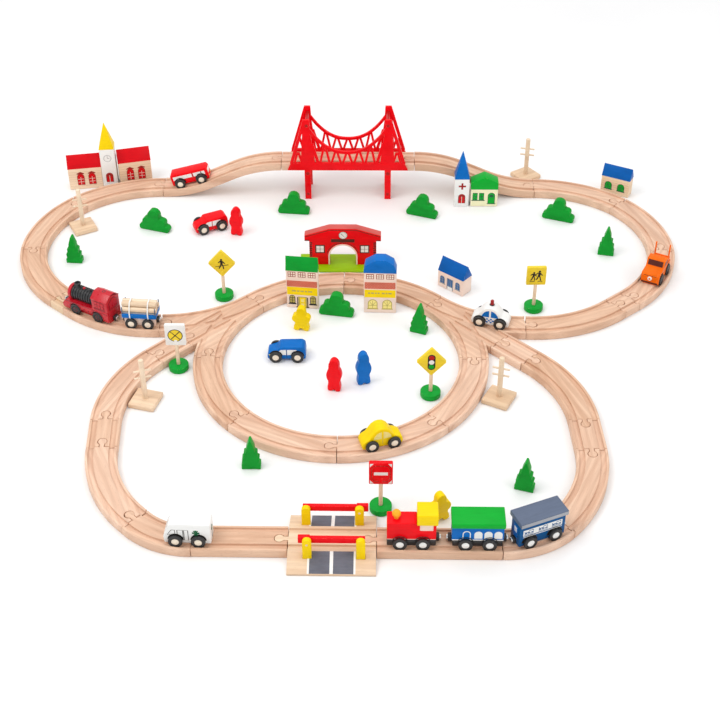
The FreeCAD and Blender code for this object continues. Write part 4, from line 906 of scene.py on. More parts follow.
def outline_bush():
    pts = [(-25.2, 4.0), (-24.6, 1.5), (-22.5, 0), (22.5, 0), (24.6, 1.5), (25.2, 4.0), (24.9, 7.4), (22.6, 10.0), (19.4, 10.9), (18.9, 12.6), (19.4, 15.6), (18.3, 19.0),
           (15.4, 21.2), (12.0, 21.6), (10.0, 22.4), (9.4, 25.0), (9.4, 28.0), (8.2, 32.0), (5.0, 35.4), (0, 36.6), (-5.0, 35.4), (-8.2, 32.0), (-9.4, 28.0), (-9.4, 25.0),
           (-10.0, 22.4), (-12.0, 21.6), (-15.4, 21.2), (-18.3, 19.0), (-19.4, 15.6), (-18.9, 12.6), (-19.4, 10.9), (-22.6, 10.0), (-24.9, 7.4)]
    return pts


for i, (x, y, a) in enumerate(BUSHES):
    P = Piece("bush_%d" % (i + 1), "layout", "trees", "green_paint", x, y, a)
    P.prism(outline_bush(), "xz", -6, 6, "green_leaf", 0.9, 3, ang=8)
    P.done(40)
for i, (x, y, a) in enumerate(PINES):
    P = Piece("pine_%d" % (i + 1), "layout", "trees", "green_paint", x, y, a)
    r_ = [(12, 0), (12, 7), (10, 8.5), (11, 16), (8.2, 17.5), (8.6, 25), (5.6, 26.5), (5.2, 33), (1.2, 45.4)]
    P.prism([(-q, z) for q, z in r_[::-1]][::-1] + r_[::-1] if False else [(-12, 0)] + r_[:] + [(-q, z) for q, z in r_[:0:-1]], "xz", -6, 6, "green_leaf", 0.8, 3, ang=8)
    P.done(40)

# -------------------------------------------------------------------- signs
SIGNS = (("worker", "diamond", -175, 154, 0, 60), ("school", "square", 274, 129, 2, 58.5), ("rail", "square_x", -221.6, -13.2, 0, 58.5),
         ("lights", "diamond", 121, -66.5, 0, 57.5), ("halt", "square_s", 55.6, -281.6, 0, 60.5))


def walker(P, cx, cz, k, mat, f, side, t=0.26, lean=0.0):
    """Plain pictogram of a walking figure."""
    def q(pts):
        return [(cx + x * k, cz + z * k) for x, z in pts]
    P.deco(circ(cx + (0.6 + lean) * k, cz + 7.2 * k, 1.5 * k, 12), side, mat, f, t)
    P.deco(q([(-1.6, -0.4), (1.4, -0.8), (2.4 + lean, 5.4), (-1.0 + lean, 5.8)]), side, mat, f, t)
    P.deco(q([(-1.6, 0.4), (0.2, 0.2), (-1.0, -3.6), (-3.2, -7.4), (-4.6, -7.0), (-2.8, -3.4)]), side, mat, f, t)
    P.deco(q([(-0.4, 0.2), (1.5, -0.2), (2.6, -3.6), (3.2, -7.6), (1.6, -7.7), (1.2, -3.6)]), side, mat, f, t)
    P.deco(q([(2.0, 5.0), (2.6, 4.2), (5.2, 1.2), (4.4, 0.4), (1.6, 2.6)]), side, mat, f, t)
    P.deco(q([(-0.6, 5.2), (-1.2, 4.2), (-4.2, 1.8), (-4.8, 2.8), (-1.8, 5.6)]), side, mat, f, t)


for tag, kind, x, y, a, zc in SIGNS:
    P = Piece("sign_stand_" + tag, "layout", "sign_stands", "green_paint", x, y)
    P.lathe([(0, 0), (13.0, 0), (13.5, 0.5), (13.6, 1.2), (13.6, 7.2), (13.3, 7.8), (12.6, 8.2), (3.0, 8.2), (2.6, 7.9), (2.6, 7.2), (0, 7.2)], "z", (0, 0, 0), "green", 56)
    half = {"diamond": 22.6, "square": 15.0, "square_x": 17.0, "square_s": 17.0}[kind]
    P.cyl((0, 0, 2.0), "z", 2.5, zc - half + 5.0, "peg_wood", 0.3, 24)
    P.done()
    P = Piece("sign_board_" + tag, "layout", "sign_boards", "yellow_paint", x, y, a, zc)
    if kind == "diamond":
        out = [(0, -22.6), (19.8, 0), (0, 22.6), (-19.8, 0)]
    else:
        hw = {"square": 13.8, "square_x": 13.8, "square_s": 14.2}[kind]
        out = [(-hw, -half), (hw, -half), (hw, half), (-hw, half)]
    col = {"diamond": "yellow_sign", "square": "yellow_sign", "square_x": "white", "square_s": "red"}[kind]
    # rounded corners, then a softened rim
    bm = bmesh.new()
    lo = [bm.verts.new((u, -2.5, v)) for u, v in out]
    hi = [bm.verts.new((u, 2.5, v)) for u, v in out]
    bm.faces.new(lo)
    bm.faces.new(hi[::-1])
    up_e = []
    for i in range(4):
        bm.faces.new((lo[i], lo[(i + 1) % 4], hi[(i + 1) % 4], hi[i]))
    bm.edges.ensure_lookup_table()
    corner = [e_ for e_ in bm.edges if abs(e_.verts[0].co.y - e_.verts[1].co.y) > 1]
    bmesh.ops.recalc_face_normals(bm, faces=bm.faces)
    bmesh.ops.bevel(bm, geom=corner, offset=1.6, segments=4, profile=0.5, affect="EDGES")
    P.bevel(bm, 0.55, 2, 60)
    P.take(bm, col)
    P.lathe([(0, 0), (3.1, 0), (3.4, 0.4), (3.4, 6.6), (0, 7.2)], "z", (0, 0, -half + 2.4), col, 24)
    for side, f in (("-y", -2.5), ("+y", 2.5)):
        if tag == "worker":
            walker(P, 0, -0.5, 1.05, "black_ink", f, side, lean=-0.8)
            P.deco([(-9.5, -5.2), (-9.0, -4.4), (9.6, -1.0), (9.9, -1.9)], side, "black_ink", f, 0.2)
        elif tag == "school":
            walker(P, -4.2, -0.5, 0.92, "black_ink", f, side)
            walker(P, 3.6, 0.6, 1.05, "black_ink", f, side)
            P.deco(rect(0, -8.6, 18.0, 0.8), side, "black_ink", f, 0.2)
        elif tag == "rail":
            P.deco(circ(0, -0.4, 10.2, 40), side, "black_ink", f, 0.12)
            P.deco(circ(0, -0.4, 9.1, 40), side, "yellow_sign", f, 0.2)
            for s_ in (-1, 1):
                P.deco([(-7.0 * s_, -6.8), (-6.2 * s_, -7.6), (7.0 * s_, 6.0), (6.2 * s_, 6.8)], side, "black_ink", f, 0.28)
        elif tag == "lights":
            P.deco(circ(0, 7.6, 5.0, 16, 0, 180) + circ(0, -7.6, 5.0, 16, 180, 360), side, "black_ink", f, 0.16)
            for dz, c_ in ((7.5, "red_dark"), (0.0, "white"), (-7.5, "green_roof")):
                P.deco(circ(0, dz, 3.6, 24), side, c_, f, 0.28)
        else:
            P.strip([(-7.6, -12.2), (7.6, -12.2), (11.0, -7.8), (11.0, 7.8), (7.6, 12.2), (-7.6, 12.2), (-11.0, 7.8), (-11.0, -7.8)], 1.0, "xz", *((f - 0.18, f + 0.3) if side == "-y" else (f - 0.3, f + 0.18)), "red_dark", closed=True)
            for sx in (-1, 1):
                for sz in (-1, 1):
                    P.deco([(sx * 13.0, sz * 15.8), (sx * 8.6, sz * 15.8), (sx * 13.0, sz * 10.4)], side, "white", f, 0.18)
            P.deco(rect(0, 0, 16.5, 4.6), side, "white", f, 0.2)
    P.done()

# ----------------------------------------------------------- telegraph poles
for i, (x, y, a, b_) in enumerate(((-415, 336, 28, 14), (292, 497, 35, -12), (-257, -85, -15, 18), (211.5, -75, -27, -17))):
    P = Piece("pole_base_%d" % (i + 1), "layout", "telegraph_poles", "beech_light", x, y, a)
    P.box(-18, 18, -18, 18, 0, 7, "beech_pale", 1.4, 3)
    P.done()
    P = Piece("pole_mast_%d" % (i + 1), "layout", "telegraph_poles", "beech_light", x, y, b_)
    P.cyl((0, 0, 2), "z", 3.5, 69, "peg_wood", 0.9, 32)
    for z in (42.0, 53.0):
        P.cyl((-11.5, 0, z), "x", 1.35, 23.0, "peg_wood", 0.4, 16)
    P.done()

# ------------------------------------------------------------------- figures
def smooth_closed(pts, it=2):
    for _ in range(it):
        q = []
        n = len(pts)
        for i in range(n):
            (x0, y0), (x1, y1) = pts[i], pts[(i + 1) % n]
            q += [(x0 * 0.75 + x1 * 0.25, y0 * 0.75 + y1 * 0.25), (x0 * 0.25 + x1 * 0.75, y0 * 0.25 + y1 * 0.75)]
        pts = q
    return pts


ADULT = [(8.5, 0), (2, 0), (1.2, 2.4), (-1.2, 2.4), (-2, 0), (-8.5, 0), (-8.8, 6), (-7.2, 15), (-9.8, 20), (-10.4, 26), (-8.6, 32), (-6.6, 35.5),
         (-7.2, 38), (-6.6, 44), (-3.6, 48.4), (0, 50), (3.6, 48.4), (6.6, 44), (7.2, 38), (6.6, 35.5), (8.6, 32), (10.4, 26), (9.8, 20), (7.2, 15), (8.8, 6)]
CHILD = [(11.0, 0), (3.4, 0), (2.0, 4.5), (-2.0, 4.5), (-3.4, 0), (-11.0, 0), (-10.6, 8), (-8.0, 14.5), (-12.6, 18.5), (-13.2, 24), (-10.8, 28.5), (-6.2, 30),
         (-6.6, 36), (-4.8, 41.5), (0, 44), (4.8, 41.5), (6.6, 36), (6.2, 30), (10.8, 28.5), (13.2, 24), (12.6, 18.5), (8.0, 14.5), (10.6, 8)]
PEOPLE = (("red", ADULT, 48 / 50, -171, 322.5, -14, "red"), ("red_b", ADULT, 52 / 50, -7, -55.5, -11, "red"), ("blue", ADULT, 52 / 50, 31.5, -41, 16, "blue"),
          ("yellow_a", CHILD, 39 / 44, -57.5, 78, -10, "yellow"), ("yellow_b", CHILD, 43 / 44, 126, -297, 28, "yellow"))
for tag, out, kz, x, y, a, col in PEOPLE:
    P = Piece("figure_" + tag, "layout", "people_figures", "multi_print", x, y, a)
    pts = [(u, v * kz) for u, v in out]
    pts = [(u, max(0.0, v)) for u, v in smooth_closed(pts[::-1], 1)]
    P.prism(pts, "xz", -5, 5, col, 0.9, 3, ang=50)
    P.done(40)


# ----------------------------------------------------------------- vehicles
SLOT = {"battery_loco": "red_paint", "log_car": "blue_paint", "steam_engine": "red_paint", "green_coach": "green_paint", "blue_coach": "blue_paint", "red_bus": "red_paint",
        "red_car": "red_paint", "blue_car": "blue_paint", "yellow_car": "yellow_paint", "police_car": "white_paint", "ambulance": "white_paint", "orange_truck": "orange_paint"}
BY = 10.2


def car(name):
    (x, y, a, z, p), wb = POSE[name]
    return Piece(name + "_body", name, name, SLOT[name], x, y, a, z, p)


def magnet(P, x, sg, z=8.5, block="black_plastic"):
    a, b = sorted((x - sg * 1.0, x + sg * 4.0))
    P.box(a, b, -4.0, 4.0, z - 3.6, z + 3.6, block, 0.7)
    a = x + 3.8 if sg > 0 else x - 5.95
    P.cyl((a, 0, z), "x", 3.35, 2.15, "chrome", 0.35, 28)
    P.cyl((x + 5.75 if sg > 0 else x - 6.08, 0, z), "x", 1.2, 0.33, "steel", 0.08, 16)


def wheels(name, hub="peg_wood", tyre="tyre", spokes=False):
    (x, y, a, z, p), wb = POSE[name]
    for tag, sx in (("rear", -1), ("front", 1)):
        lx, lz = sx * wb / 2, 8.5
        X, Z = lx * math.cos(rad(p)) - lz * math.sin(rad(p)), lx * math.sin(rad(p)) + lz * math.cos(rad(p))
        nd = "%s_wheels_%s" % (name, tag)
        P = Piece(nd + "_set", nd, nd, "black_wheel", x + X * math.cos(rad(a)), y + X * math.sin(rad(a)), a, z + Z, p)
        P.cyl((0, -13.9, 0), "y", 1.7, 27.8, "steel", 0.3, 20)
        for sg in (-1, 1):
            def q(pr):
                return [(r_, sg * t) for r_, t in pr]
            P.lathe(q([(1.6, 10.9), (4.2, 10.9), (4.6, 11.3), (7.6, 11.3), (8.1, 11.1), (8.5, 11.6), (8.5, 14.4), (8.3, 14.85), (7.9, 15.1), (5.9, 15.1), (5.3, 14.7), (4.9, 14.2), (1.6, 14.2), (1.6, 10.9)]), "y", (0, 0, 0), tyre, 56)
            if spokes:
                P.lathe(q([(0, 13.8), (4.8, 13.8), (4.8, 14.5), (4.3, 14.8), (3.4, 14.5), (1.9, 14.5), (1.6, 15.1), (0, 15.25)]), "y", (0, 0, 0), "black_plastic", 32)
                for i in range(6):
                    u = rad(60 * i + 15)
                    P.cyl((3.1 * math.cos(u), 14.3 if sg > 0 else -14.75, 3.1 * math.sin(u)), "y", 0.75, 0.45, "red_plastic_dark", 0.1, 12)
            else:
                P.lathe(q([(0, 13.9), (4.5, 13.9), (4.5, 14.5), (4.15, 14.8), (3.0, 15.0), (1.6, 15.05), (1.5, 15.25), (0.9, 15.45), (0, 15.5)]), "y", (0, 0, 0), [hub, hub][0], 40)
        ob = P.done(40)
    return


# battery locomotive --------------------------------------------------------
P = car("battery_loco")
low = [(-40, 3.6), (38, 3.6), (43, 8), (43, 13), (38, 19), (-10, 20.5), (-10, 22), (-40, 22)]
P.prism(low, "xz", -10.0, 10.0, "red_plastic", 0.8, 3)
side_pts = [(-40, 6.0), (-30.4, 6.0)]
for c in (-20, 20):
    side_pts += [(c + 9.7 * math.cos(rad(t)), 8.5 + 9.7 * math.sin(rad(t))) for t in range(165, 10, -15)]
side_pts += [(31.5, 6.0), (40.5, 6.0), (43, 8), (43, 13), (38, 19), (-10, 20.5), (-10, 22), (-40, 22)]
for y0, y1 in ((-14.0, -9.6), (9.6, 14.0)):
    P.prism(side_pts, "xz", y0, y1, "red_plastic", 0.55, 2)
# arches around the wheels, running-board rib and rivets in a darker copy of the body's red plastic: painted shade on
# the mouldings
for sg in (-1, 1):
    lo_, hi_ = sorted((sg * 13.6, sg * 14.5))
    for c in (-20, 20):
        P.strip([(c + 10.6 * math.cos(rad(t)), 8.5 + 10.6 * math.sin(rad(t))) for t in range(170, 5, -11)], 1.1, "xz", lo_, hi_, "red_plastic_dark")
    P.box(-39.4, 37.0, *sorted((sg * 13.4, sg * 14.4)), 18.6, 19.6, "red_plastic_dark", 0.25)
    for x in (-4.0, 4.0):
        P.cyl((x, sg * 13.8 if sg > 0 else -14.6, 13.0), "y", 1.1, 0.8, "red_plastic_dark", 0.2, 16)
cab = [(-14, 21), (14, 21), (14, 39.5), (4, 47.5), (-4, 47.5), (-14, 39.5)]
P.prism(cab, "yz", -40, -12, "red_plastic", 1.2, 4)
# roof cap with overhang and screw recess
rf = [(-14.6, 38.6), (-4.2, 47.2), (4.2, 47.2), (14.6, 38.6), (14.6, 40.0), (4.4, 47.7), (-4.4, 47.7), (-14.6, 40.0)]
P.prism(rf, "yz", -40.0, -11.6, "red_plastic", 0.3, 2)
P.lathe([(0, 0), (2.6, 0), (2.6, 0.25), (1.7, 0.25), (1.5, -0.1), (0, -0.1)], "z", (-26.0, 0, 47.55), "black_plastic", 24)
# cab side windows: frame and grooves in the darker red as painted shade, panes in the body red
for side, f in (("-y", -14.0), ("+y", 14.0)):
    P.deco(rect(-26.0, 31.8, 17.5, 11.6), side, "red_plastic_dark", f, 0.3)
    for dx in (-5.6, 0, 5.6):
        for dz in (-2.5, 2.5):
            P.deco(rect(-26.0 + dx, 31.8 + dz, 4.3, 3.9), side, "red_plastic", f, 0.75)
    P.deco(rect(-26.0, 24.9, 20.0, 0.8), side, "red_plastic_dark", f, 0.4)
    P.deco(rect(-26.0, 23.2, 20.0, 0.6), side, "red_plastic_dark", f, 0.3)
# front cab window: darker red surround as painted shade, pane in the body red
P.deco([(-9.5, 24.5), (9.5, 24.5), (9.5, 36.8), (3.0, 42.4), (-3.0, 42.4), (-9.5, 36.8)], "-x", "red_plastic_dark", -40.0, 0.3)
P.deco([(-8.0, 26.0), (8.0, 26.0), (8.0, 36.2), (2.6, 40.8), (-2.6, 40.8), (-8.0, 36.2)], "-x", "red_plastic", -40.0, 0.6)
prof = [(0, 0)]
x = 0.0
for i in range(9):
    prof += [(9.6, x), (9.6, x + 1.0), (10.8, x + 1.5), (11.0, x + 2.3), (10.8, x + 3.1), (9.6, x + 3.6)]
    x += 4.5
prof += [(9.6, 40.9), (0, 40.9)]
P.lathe(prof, "x", (-11.9, 0, 29.3), "black_plastic", 56)
P.box(-11.5, 29.0, -6.2, 6.2, 19.2, 23.5, "black_plastic", 0.6)
P.lathe([(9.0, 0), (11.4, 0), (11.8, 0.6), (11.8, 3.9), (11.4, 4.6), (9.8, 4.6), (9.3, 4.1), (9.0, 3.4), (9.0, 0)], "x", (29.0, 0, 29.3), "red_plastic", 56)
P.lathe([(0, 0), (9.1, 0), (9.1, 4.4), (8.3, 5.1), (6.2, 5.4), (2.4, 5.4), (2.0, 6.4), (0, 6.6)], "x", (29.0, 0, 29.3), "black_plastic", 48)
P.prism([(-9.4, 17.6), (9.4, 17.6), (10.6, 25), (-10.6, 25)], "yz", 29.0, 33.5, "red_plastic", 0.6)
P.lathe([(0, 0), (4.6, 0), (4.1, 0.8), (3.9, 5.2), (4.1, 6.0), (4.8, 6.6), (4.9, 8.0), (4.5, 8.5), (3.4, 8.5), (3.1, 7.8), (3.1, 6.0), (0, 6.0)], "z", (22.0, 0, 37.5), "black_plastic", 40)
P.lathe([(0, 0), (3.4, 0), (3.2, 1.2), (2.4, 2.6), (0, 3.2)], "z", (1.0, 0, 39.2), "black_plastic", 28)
P.lathe([(0, 0), (1.9, 0), (1.8, 1.6), (1.2, 2.4), (0, 2.7)], "z", (10.5, 0, 39.4), "red_plastic", 24)
for sg in (-1, 1):
    P.cyl((41.0, sg * 9.0, 12.2), "x", 2.0, 2.4, "black_plastic", 0.4, 20)
magnet(P, -40, -1)
magnet(P, 43, 1, 9.5)
P.done()
wheels("battery_loco", spokes=True)

# log car -------------------------------------------------------------------
P = car("log_car")
P.box(-22, 22, -BY, BY, 4.0, 17.6, "pink", 0.6)
P.box(-24.5, 24.5, -13.0, 13.0, 17.6, 24.0, "blue", 0.7, 3)
for sx in (-1, 1):
    x = sx * 13.0
    for sg in (-1, 1):
        P.box(x - 0.9, x + 0.9, *sorted((sg * 12.9, sg * 13.3)), 17.4, 29.0, "white", 0.15)
    # strap over the load
    st = [(-13.1, 24.0), (-12.0, 27.5), (-11.4, 30.6), (-8.2, 36.8), (-5.4, 39.9), (-2.0, 39.9), (2.0, 39.9), (5.4, 39.9), (8.2, 36.8), (11.4, 30.6), (12.0, 27.5), (13.1, 24.0)]
    P.strip(st, 0.7, "yz", x - 0.9, x + 0.9, "white")
rl = random.Random(3)
for y, z in ((-7.3, 29.3), (0, 29.3), (7.3, 29.3), (-3.65, 35.8), (3.65, 35.8)):
    dx = rl.uniform(-0.8, 0.8)
    pr = [(0, -24.5 + dx), (3.0, -24.5 + dx), (3.45, -24.0 + dx)]
    for j in range(11):
        pr.append((3.55 + rl.uniform(-0.12, 0.10), -21.5 + 4.3 * j + dx))
    pr += [(3.45, 24.0 + dx), (3.0, 24.5 + dx), (0, 24.5 + dx)]
    P.lathe(pr, "x", (0, y, z), "log_wood", 28)
P.box(-24.5, 24.5, -11.0, 11.0, 24.0, 25.8, "grey_edge", 0.3)
for sx in (-1, 1):
    P.box(*sorted((sx * 22.9, sx * 24.4)), -12.4, -11.4, 24.0, 35.5, "grey", 0.3)
    P.box(*sorted((sx * 22.9, sx * 24.4)), 11.4, 12.4, 24.0, 35.5, "grey", 0.3)
magnet(P, -22, -1, 9.5)
magnet(P, 22, 1, 9.5)
P.done()
wheels("log_car", hub="cream")

# steam engine: ball towards -X --------------------------------------------
P = car("steam_engine")
P.box(-28.5, 28.5, -BY, BY, 3.6, 13.3, "black_plastic", 0.6)
body = [(-28.5, 13.2), (28.5, 13.2), (28.5, 37.4), (25, 37.4), (25, 27.0), (9.5, 27.0), (9.5, 37.4), (6.0, 37.4), (6.0, 39.2), (-28.5, 39.2)]
P.prism(body, "xz", -BY, BY, "red", 0.9, 3)
P.box(9.2, 25.3, -9.4, 9.4, 26.6, 37.8, "pink", 0.3)
P.box(6.1, 30.5, -12.0, 12.0, 37.4, 53.4, "yellow", 1.1, 3)
P.ball((-17.5, 0, 45.8), 5.2, "orange_ball")
P.cyl((-17.5, 0, 38.0), "z", 2.95, 4.0, "orange_ball", 0.3)
for side, f in (("-y", -BY), ("+y", BY)):
    P.deco(rect(0, 13.9, 56.0, 0.8), side, "pink", f, 0.1)
    for cx in (-13.3, 13.3):
        P.strip([(cx + 9.6 * math.cos(rad(t)), 8.5 + 9.6 * math.sin(rad(t))) for t in range(170, 5, -15)], 0.9, "xz", *((f - 0.4, f + 0.2) if side == "-y" else (f - 0.2, f + 0.4)), "black_plastic")
P.deco(circ(0, 27.0, 6.8, 32), "-x", "yellow", -28.5, 0.15)
P.deco(circ(0, 27.0, 4.6, 32), "-x", "white", -28.5, 0.22)
magnet(P, 28.5, 1)
P.done()
wheels("steam_engine", hub="white")

# green coach ---------------------------------------------------------------
P = car("green_coach")
P.box(-29, 29, -BY, BY, 3.6, 12.7, "black_plastic", 0.6)
P.box(-30, 30, -BY, BY, 12.6, 36.4, "blue", 0.7)
P.box(-31, 31, -15, 15, 36.2, 43.6, "green_roof", 1.3, 3)
for side, f in (("-y", -BY), ("+y", BY)):
    P.deco(rect(0, 13.9, 59.0, 1.5), side, "white", f, 0.14)
    P.deco(arch(-13.0, 14.6, 9.4, 13.6, 10), side, "white", f, 0.14)
    P.deco(arch(-13.0, 14.6, 7.2, 12.3, 10), side, "blue", f, 0.22)
    for cx in (0.5, 12.0, 23.5):
        P.deco(arch(cx, 16.2, 9.4, 11.4, 10), side, "white", f, 0.14)
    for cx in (-14, 14):
        P.strip([(cx + 9.6 * math.cos(rad(t)), 8.5 + 9.6 * math.sin(rad(t))) for t in range(170, 5, -15)], 0.9, "xz", *((f - 0.4, f + 0.2) if side == "-y" else (f - 0.2, f + 0.4)), "black_plastic")
for side, f in (("-x", -30.0), ("+x", 30.0)):
    P.deco(rect(0, 23.5, 8.0, 16.0), side, "white", f, 0.14)
    P.deco(rect(0, 23.5, 6.4, 14.4), side, "blue", f, 0.2)
magnet(P, -30, -1)
magnet(P, 30, 1)
P.done()
wheels("green_coach", hub="white")

# blue coach with a slab roof ----------------------------------------------
P = car("blue_coach")
P.prism([(-30, 3.4), (30, 3.4), (30, 36.2), (-30, 36.2)], "xz", -BY, BY, "blue_deep", 0.9, 3)
P.box(-31, 31, -14, 14, 36.0, 43.0, "grey", 1.0, 3)
# painted highlight: a lighter grey skin over both long sides of the grey roof slab
for sg in (-1, 1):
    P.box(-30.6, 30.6, *sorted((sg * 13.5, sg * 14.12)), 37.0, 42.0, "grey_edge", 0.2)
for side, f in (("-y", -BY), ("+y", BY)):
    P.deco(rect(0, 23.8, 51.0, 9.0), side, "white", f, 0.14)
    for cx in (-18.0, 0.5, 18.0):
        P.strip([(cx - 5.6, 26.6), (cx - 5.6, 24.6), (cx, 24.6), (cx, 26.6), (cx + 5.6, 26.6), (cx + 5.6, 24.6)], 0.9, "xz", *((f - 0.22, f + 0.3) if side == "-y" else (f - 0.3, f + 0.22)), "blue_deep")
        for dx in (-4.2, 0.0, 4.2):
            P.deco(rect(cx + dx, 23.0, 3.2, 1.8), side, "blue_deep", f, 0.22)
        P.deco(rect(cx, 20.8, 12.4, 0.7), side, "blue_deep", f, 0.22)
    P.deco(rect(0, 17.4, 51.0, 0.9), side, "white", f, 0.14)
    for cx in (-16.5, 16.5):
        P.deco(circ(cx, 8.5, 10.4, 24, 0, 180), side, "black_ink", f, 0.12)
for side, f in (("-x", -30.0), ("+x", 30.0)):
    P.deco(rect(0, 19.5, 9.0, 22.0), side, "blue", f, 0.14)
    P.deco(rect(0, 24.5, 5.6, 7.5), side, "white", f, 0.22)
magnet(P, -30, -1)
magnet(P, 30, 1)
P.done()
wheels("blue_coach", hub="white")

# red bus -------------------------------------------------------------------
P = car("red_bus")
pts = [(-30.5, 5.8), (30.5, 5.8), (31.5, 9), (31, 22), (28.5, 26), (-29.5, 26), (-31.5, 23.5), (-31.5, 7.5)]
P.prism(pts, "xz", -BY, BY, "red", 1.2, 3)
for side, f in (("-y", -BY), ("+y", BY)):
    P.deco([(-27.5, 15.2), (26.5, 15.2), (26.5, 21.6), (-27.5, 21.6)], side, "white", f, 0.14)
    for x in (-19.6, -11.6, -3.7, 12.0, 19.8):
        P.deco(rect(x, 18.4, 0.7, 6.4), side, "pink", f, 0.2)
    P.deco(rect(5.6, 18.0, 2.6, 8.4), side, "red", f, 0.24)
    P.deco(rect(5.6, 18.0, 0.8, 8.4), side, "black_ink", f, 0.28)
    P.deco(rect(20.4, 18.4, 1.2, 6.4), side, "black_ink", f, 0.24)
    for cx in (-18, 18):
        P.deco(circ(cx, 8.5, 9.9, 24, 0, 180), side, "black_ink", f, 0.16)
for side, f in (("-x", -31.5), ("+x", 31.3)):
    P.deco([(-7.6, 15.0), (7.6, 15.0), (7.0, 21.0), (-7.0, 21.0)], side, "white", f, 0.2)
    for sg in (-1, 1):
        P.deco(circ(sg * 6.4, 10.6, 1.7, 16), side, "yellow_pale", f, 0.25)
P.done()
wheels("red_bus", hub="cream")


# small cars ----------------------------------------------------------------
def hatch(name, col, glass):
    P = car(name)
    pts = [(-26, 3.2), (26, 3.2), (26.5, 8), (25.2, 13.2), (13.5, 17.3), (8.5, 23.0), (-21.5, 23.8), (-25.5, 20.5), (-26.5, 12)]
    P.prism(pts, "xz", -BY, BY, col, 1.3, 3)
    for side, f in (("-y", -BY), ("+y", BY)):
        for cx in (-15, 15):
            P.deco(circ(cx, 8.5, 9.2, 24, 0, 180), side, "black_ink", f, 0.10)
        P.deco([(0.7, 10.4), (5.6, 10.4), (7.2, 14.0), (10.4, 16.4), (8.2, 18.6), (0.7, 19.0)], side, glass, f, 0.14)
        P.deco([(-5.6, 10.4), (-0.7, 10.4), (-0.7, 19.0), (-13.0, 19.0), (-14.2, 18.0), (-9.4, 16.4), (-7.2, 14.0)], side, glass, f, 0.14)
        P.deco(rect(0.0, 12.0, 0.5, 13.5), side, "black_ink", f, 0.1)
        P.deco(rect(23.2, 10.6, 2.4, 2.0), side, "yellow_pale", f, 0.16)
    P.done()
    wheels(name, hub="cream")


hatch("red_car", "red", "white")
hatch("blue_car", "blue", "white")


def dome(name, col, glass, light):
    P = car(name)
    pts = [(-26, 3.2), (26, 3.2), (27, 8), (26.0, 12.6), (22.0, 15.6), (15.5, 17.8), (12.4, 22.5), (8.8, 27.4), (4.2, 30.9), (-1.0, 32.0),
           (-6.0, 31.0), (-10.8, 27.6), (-14.4, 22.6), (-17.8, 17.9), (-22.8, 15.4), (-26.0, 12.4), (-27, 8)]
    P.prism(pts, "xz", -BY, BY, col, 1.3, 3, ang=35)
    for side, f in (("-y", -BY), ("+y", BY)):
        a = [(1.0, 16.6), (11.6, 16.6), (10.4, 20.6), (7.6, 24.4), (4.6, 26.4), (1.0, 27.4)]
        P.deco(a, side, glass, f, 0.14)
        P.deco([(-x_ - 0.6, z_) for x_, z_ in a[::-1]], side, glass, f, 0.14)
        if light:
            P.deco(rect(0, 11.0, 11.0, 7.6), side, "white", f, 0.12)
            for i in range(4):
                for j in range(3):
                    if (i + j) % 2 == 0:
                        P.deco(rect(-4.1 + 2.75 * i, 8.5 + 2.5 * j, 2.7, 2.45), side, "blue", f, 0.2)
        else:
            P.deco(rect(0, 12.0, 0.5, 9.0), side, "lattice", f, 0.12)
        for cx in (-14.5, 14.5):
            P.deco(circ(cx, 8.5, 9.2, 24, 0, 180), side, "black_ink" if light else "yellow", f, 0.10)
    if light:
        P.cyl((0, 0, 29.0), "z", 2.45, 10.5, "maroon", 0.9, 28)
        P.lathe([(0, 0), (3.6, 0), (3.6, 0.5), (3.0, 0.8), (0, 0.8)], "z", (0, 0, 31.7), "black_plastic", 28)
    P.done(40)
    wheels(name, hub="cream")


dome("yellow_car", "yellow", "yellow_pale", False)
dome("police_car", "white", "blue", True)

# ambulance: sloping front towards -X ---------------------------------------
P = car("ambulance")
pts = [(-27, 3.2), (28, 3.2), (28.5, 31.5), (27, 33), (-18.5, 33), (-21, 31), (-26.5, 17), (-28, 12)]
P.prism(pts, "xz", -BY, BY, "white", 1.3, 3)
for side, f in (("-y", -BY), ("+y", BY)):
    lo_, hi_ = (f - 0.14, f + 0.3) if side == "-y" else (f - 0.3, f + 0.14)
    P.strip([(-22.6, 16.5), (-13.6, 16.5), (-13.6, 24.0), (-17.6, 24.0)], 0.75, "xz", lo_, hi_, "black_ink", closed=True)
    P.strip([(-10.8, 8.0), (-4.2, 8.0), (-4.2, 24.0), (-10.8, 24.0)], 0.75, "xz", lo_, hi_, "black_ink", closed=True)
    P.strip([(-3.0, 8.0), (1.8, 8.0), (1.8, 24.0), (-3.0, 24.0)], 0.75, "xz", lo_, hi_, "black_ink", closed=True)
    P.deco(rect(11.0, 20.0, 2.6, 8.6), side, "green_ink", f, 0.16)
    P.deco(rect(11.0, 20.0, 8.6, 2.6), side, "green_ink", f, 0.18)
    for s_ in (-1, 1):
        P.deco([(11 - 3.1 * s_, 16.6), (11 - 2.2 * s_, 15.9), (11 + 3.1 * s_, 23.4), (11 + 2.2 * s_, 24.1)], side, "green_ink", f, 0.14)
    for cx in (-13.5, 13.5):
        P.deco(circ(cx, 8.5, 9.6, 24, 0, 180), side, "black_ink", f, 0.10)
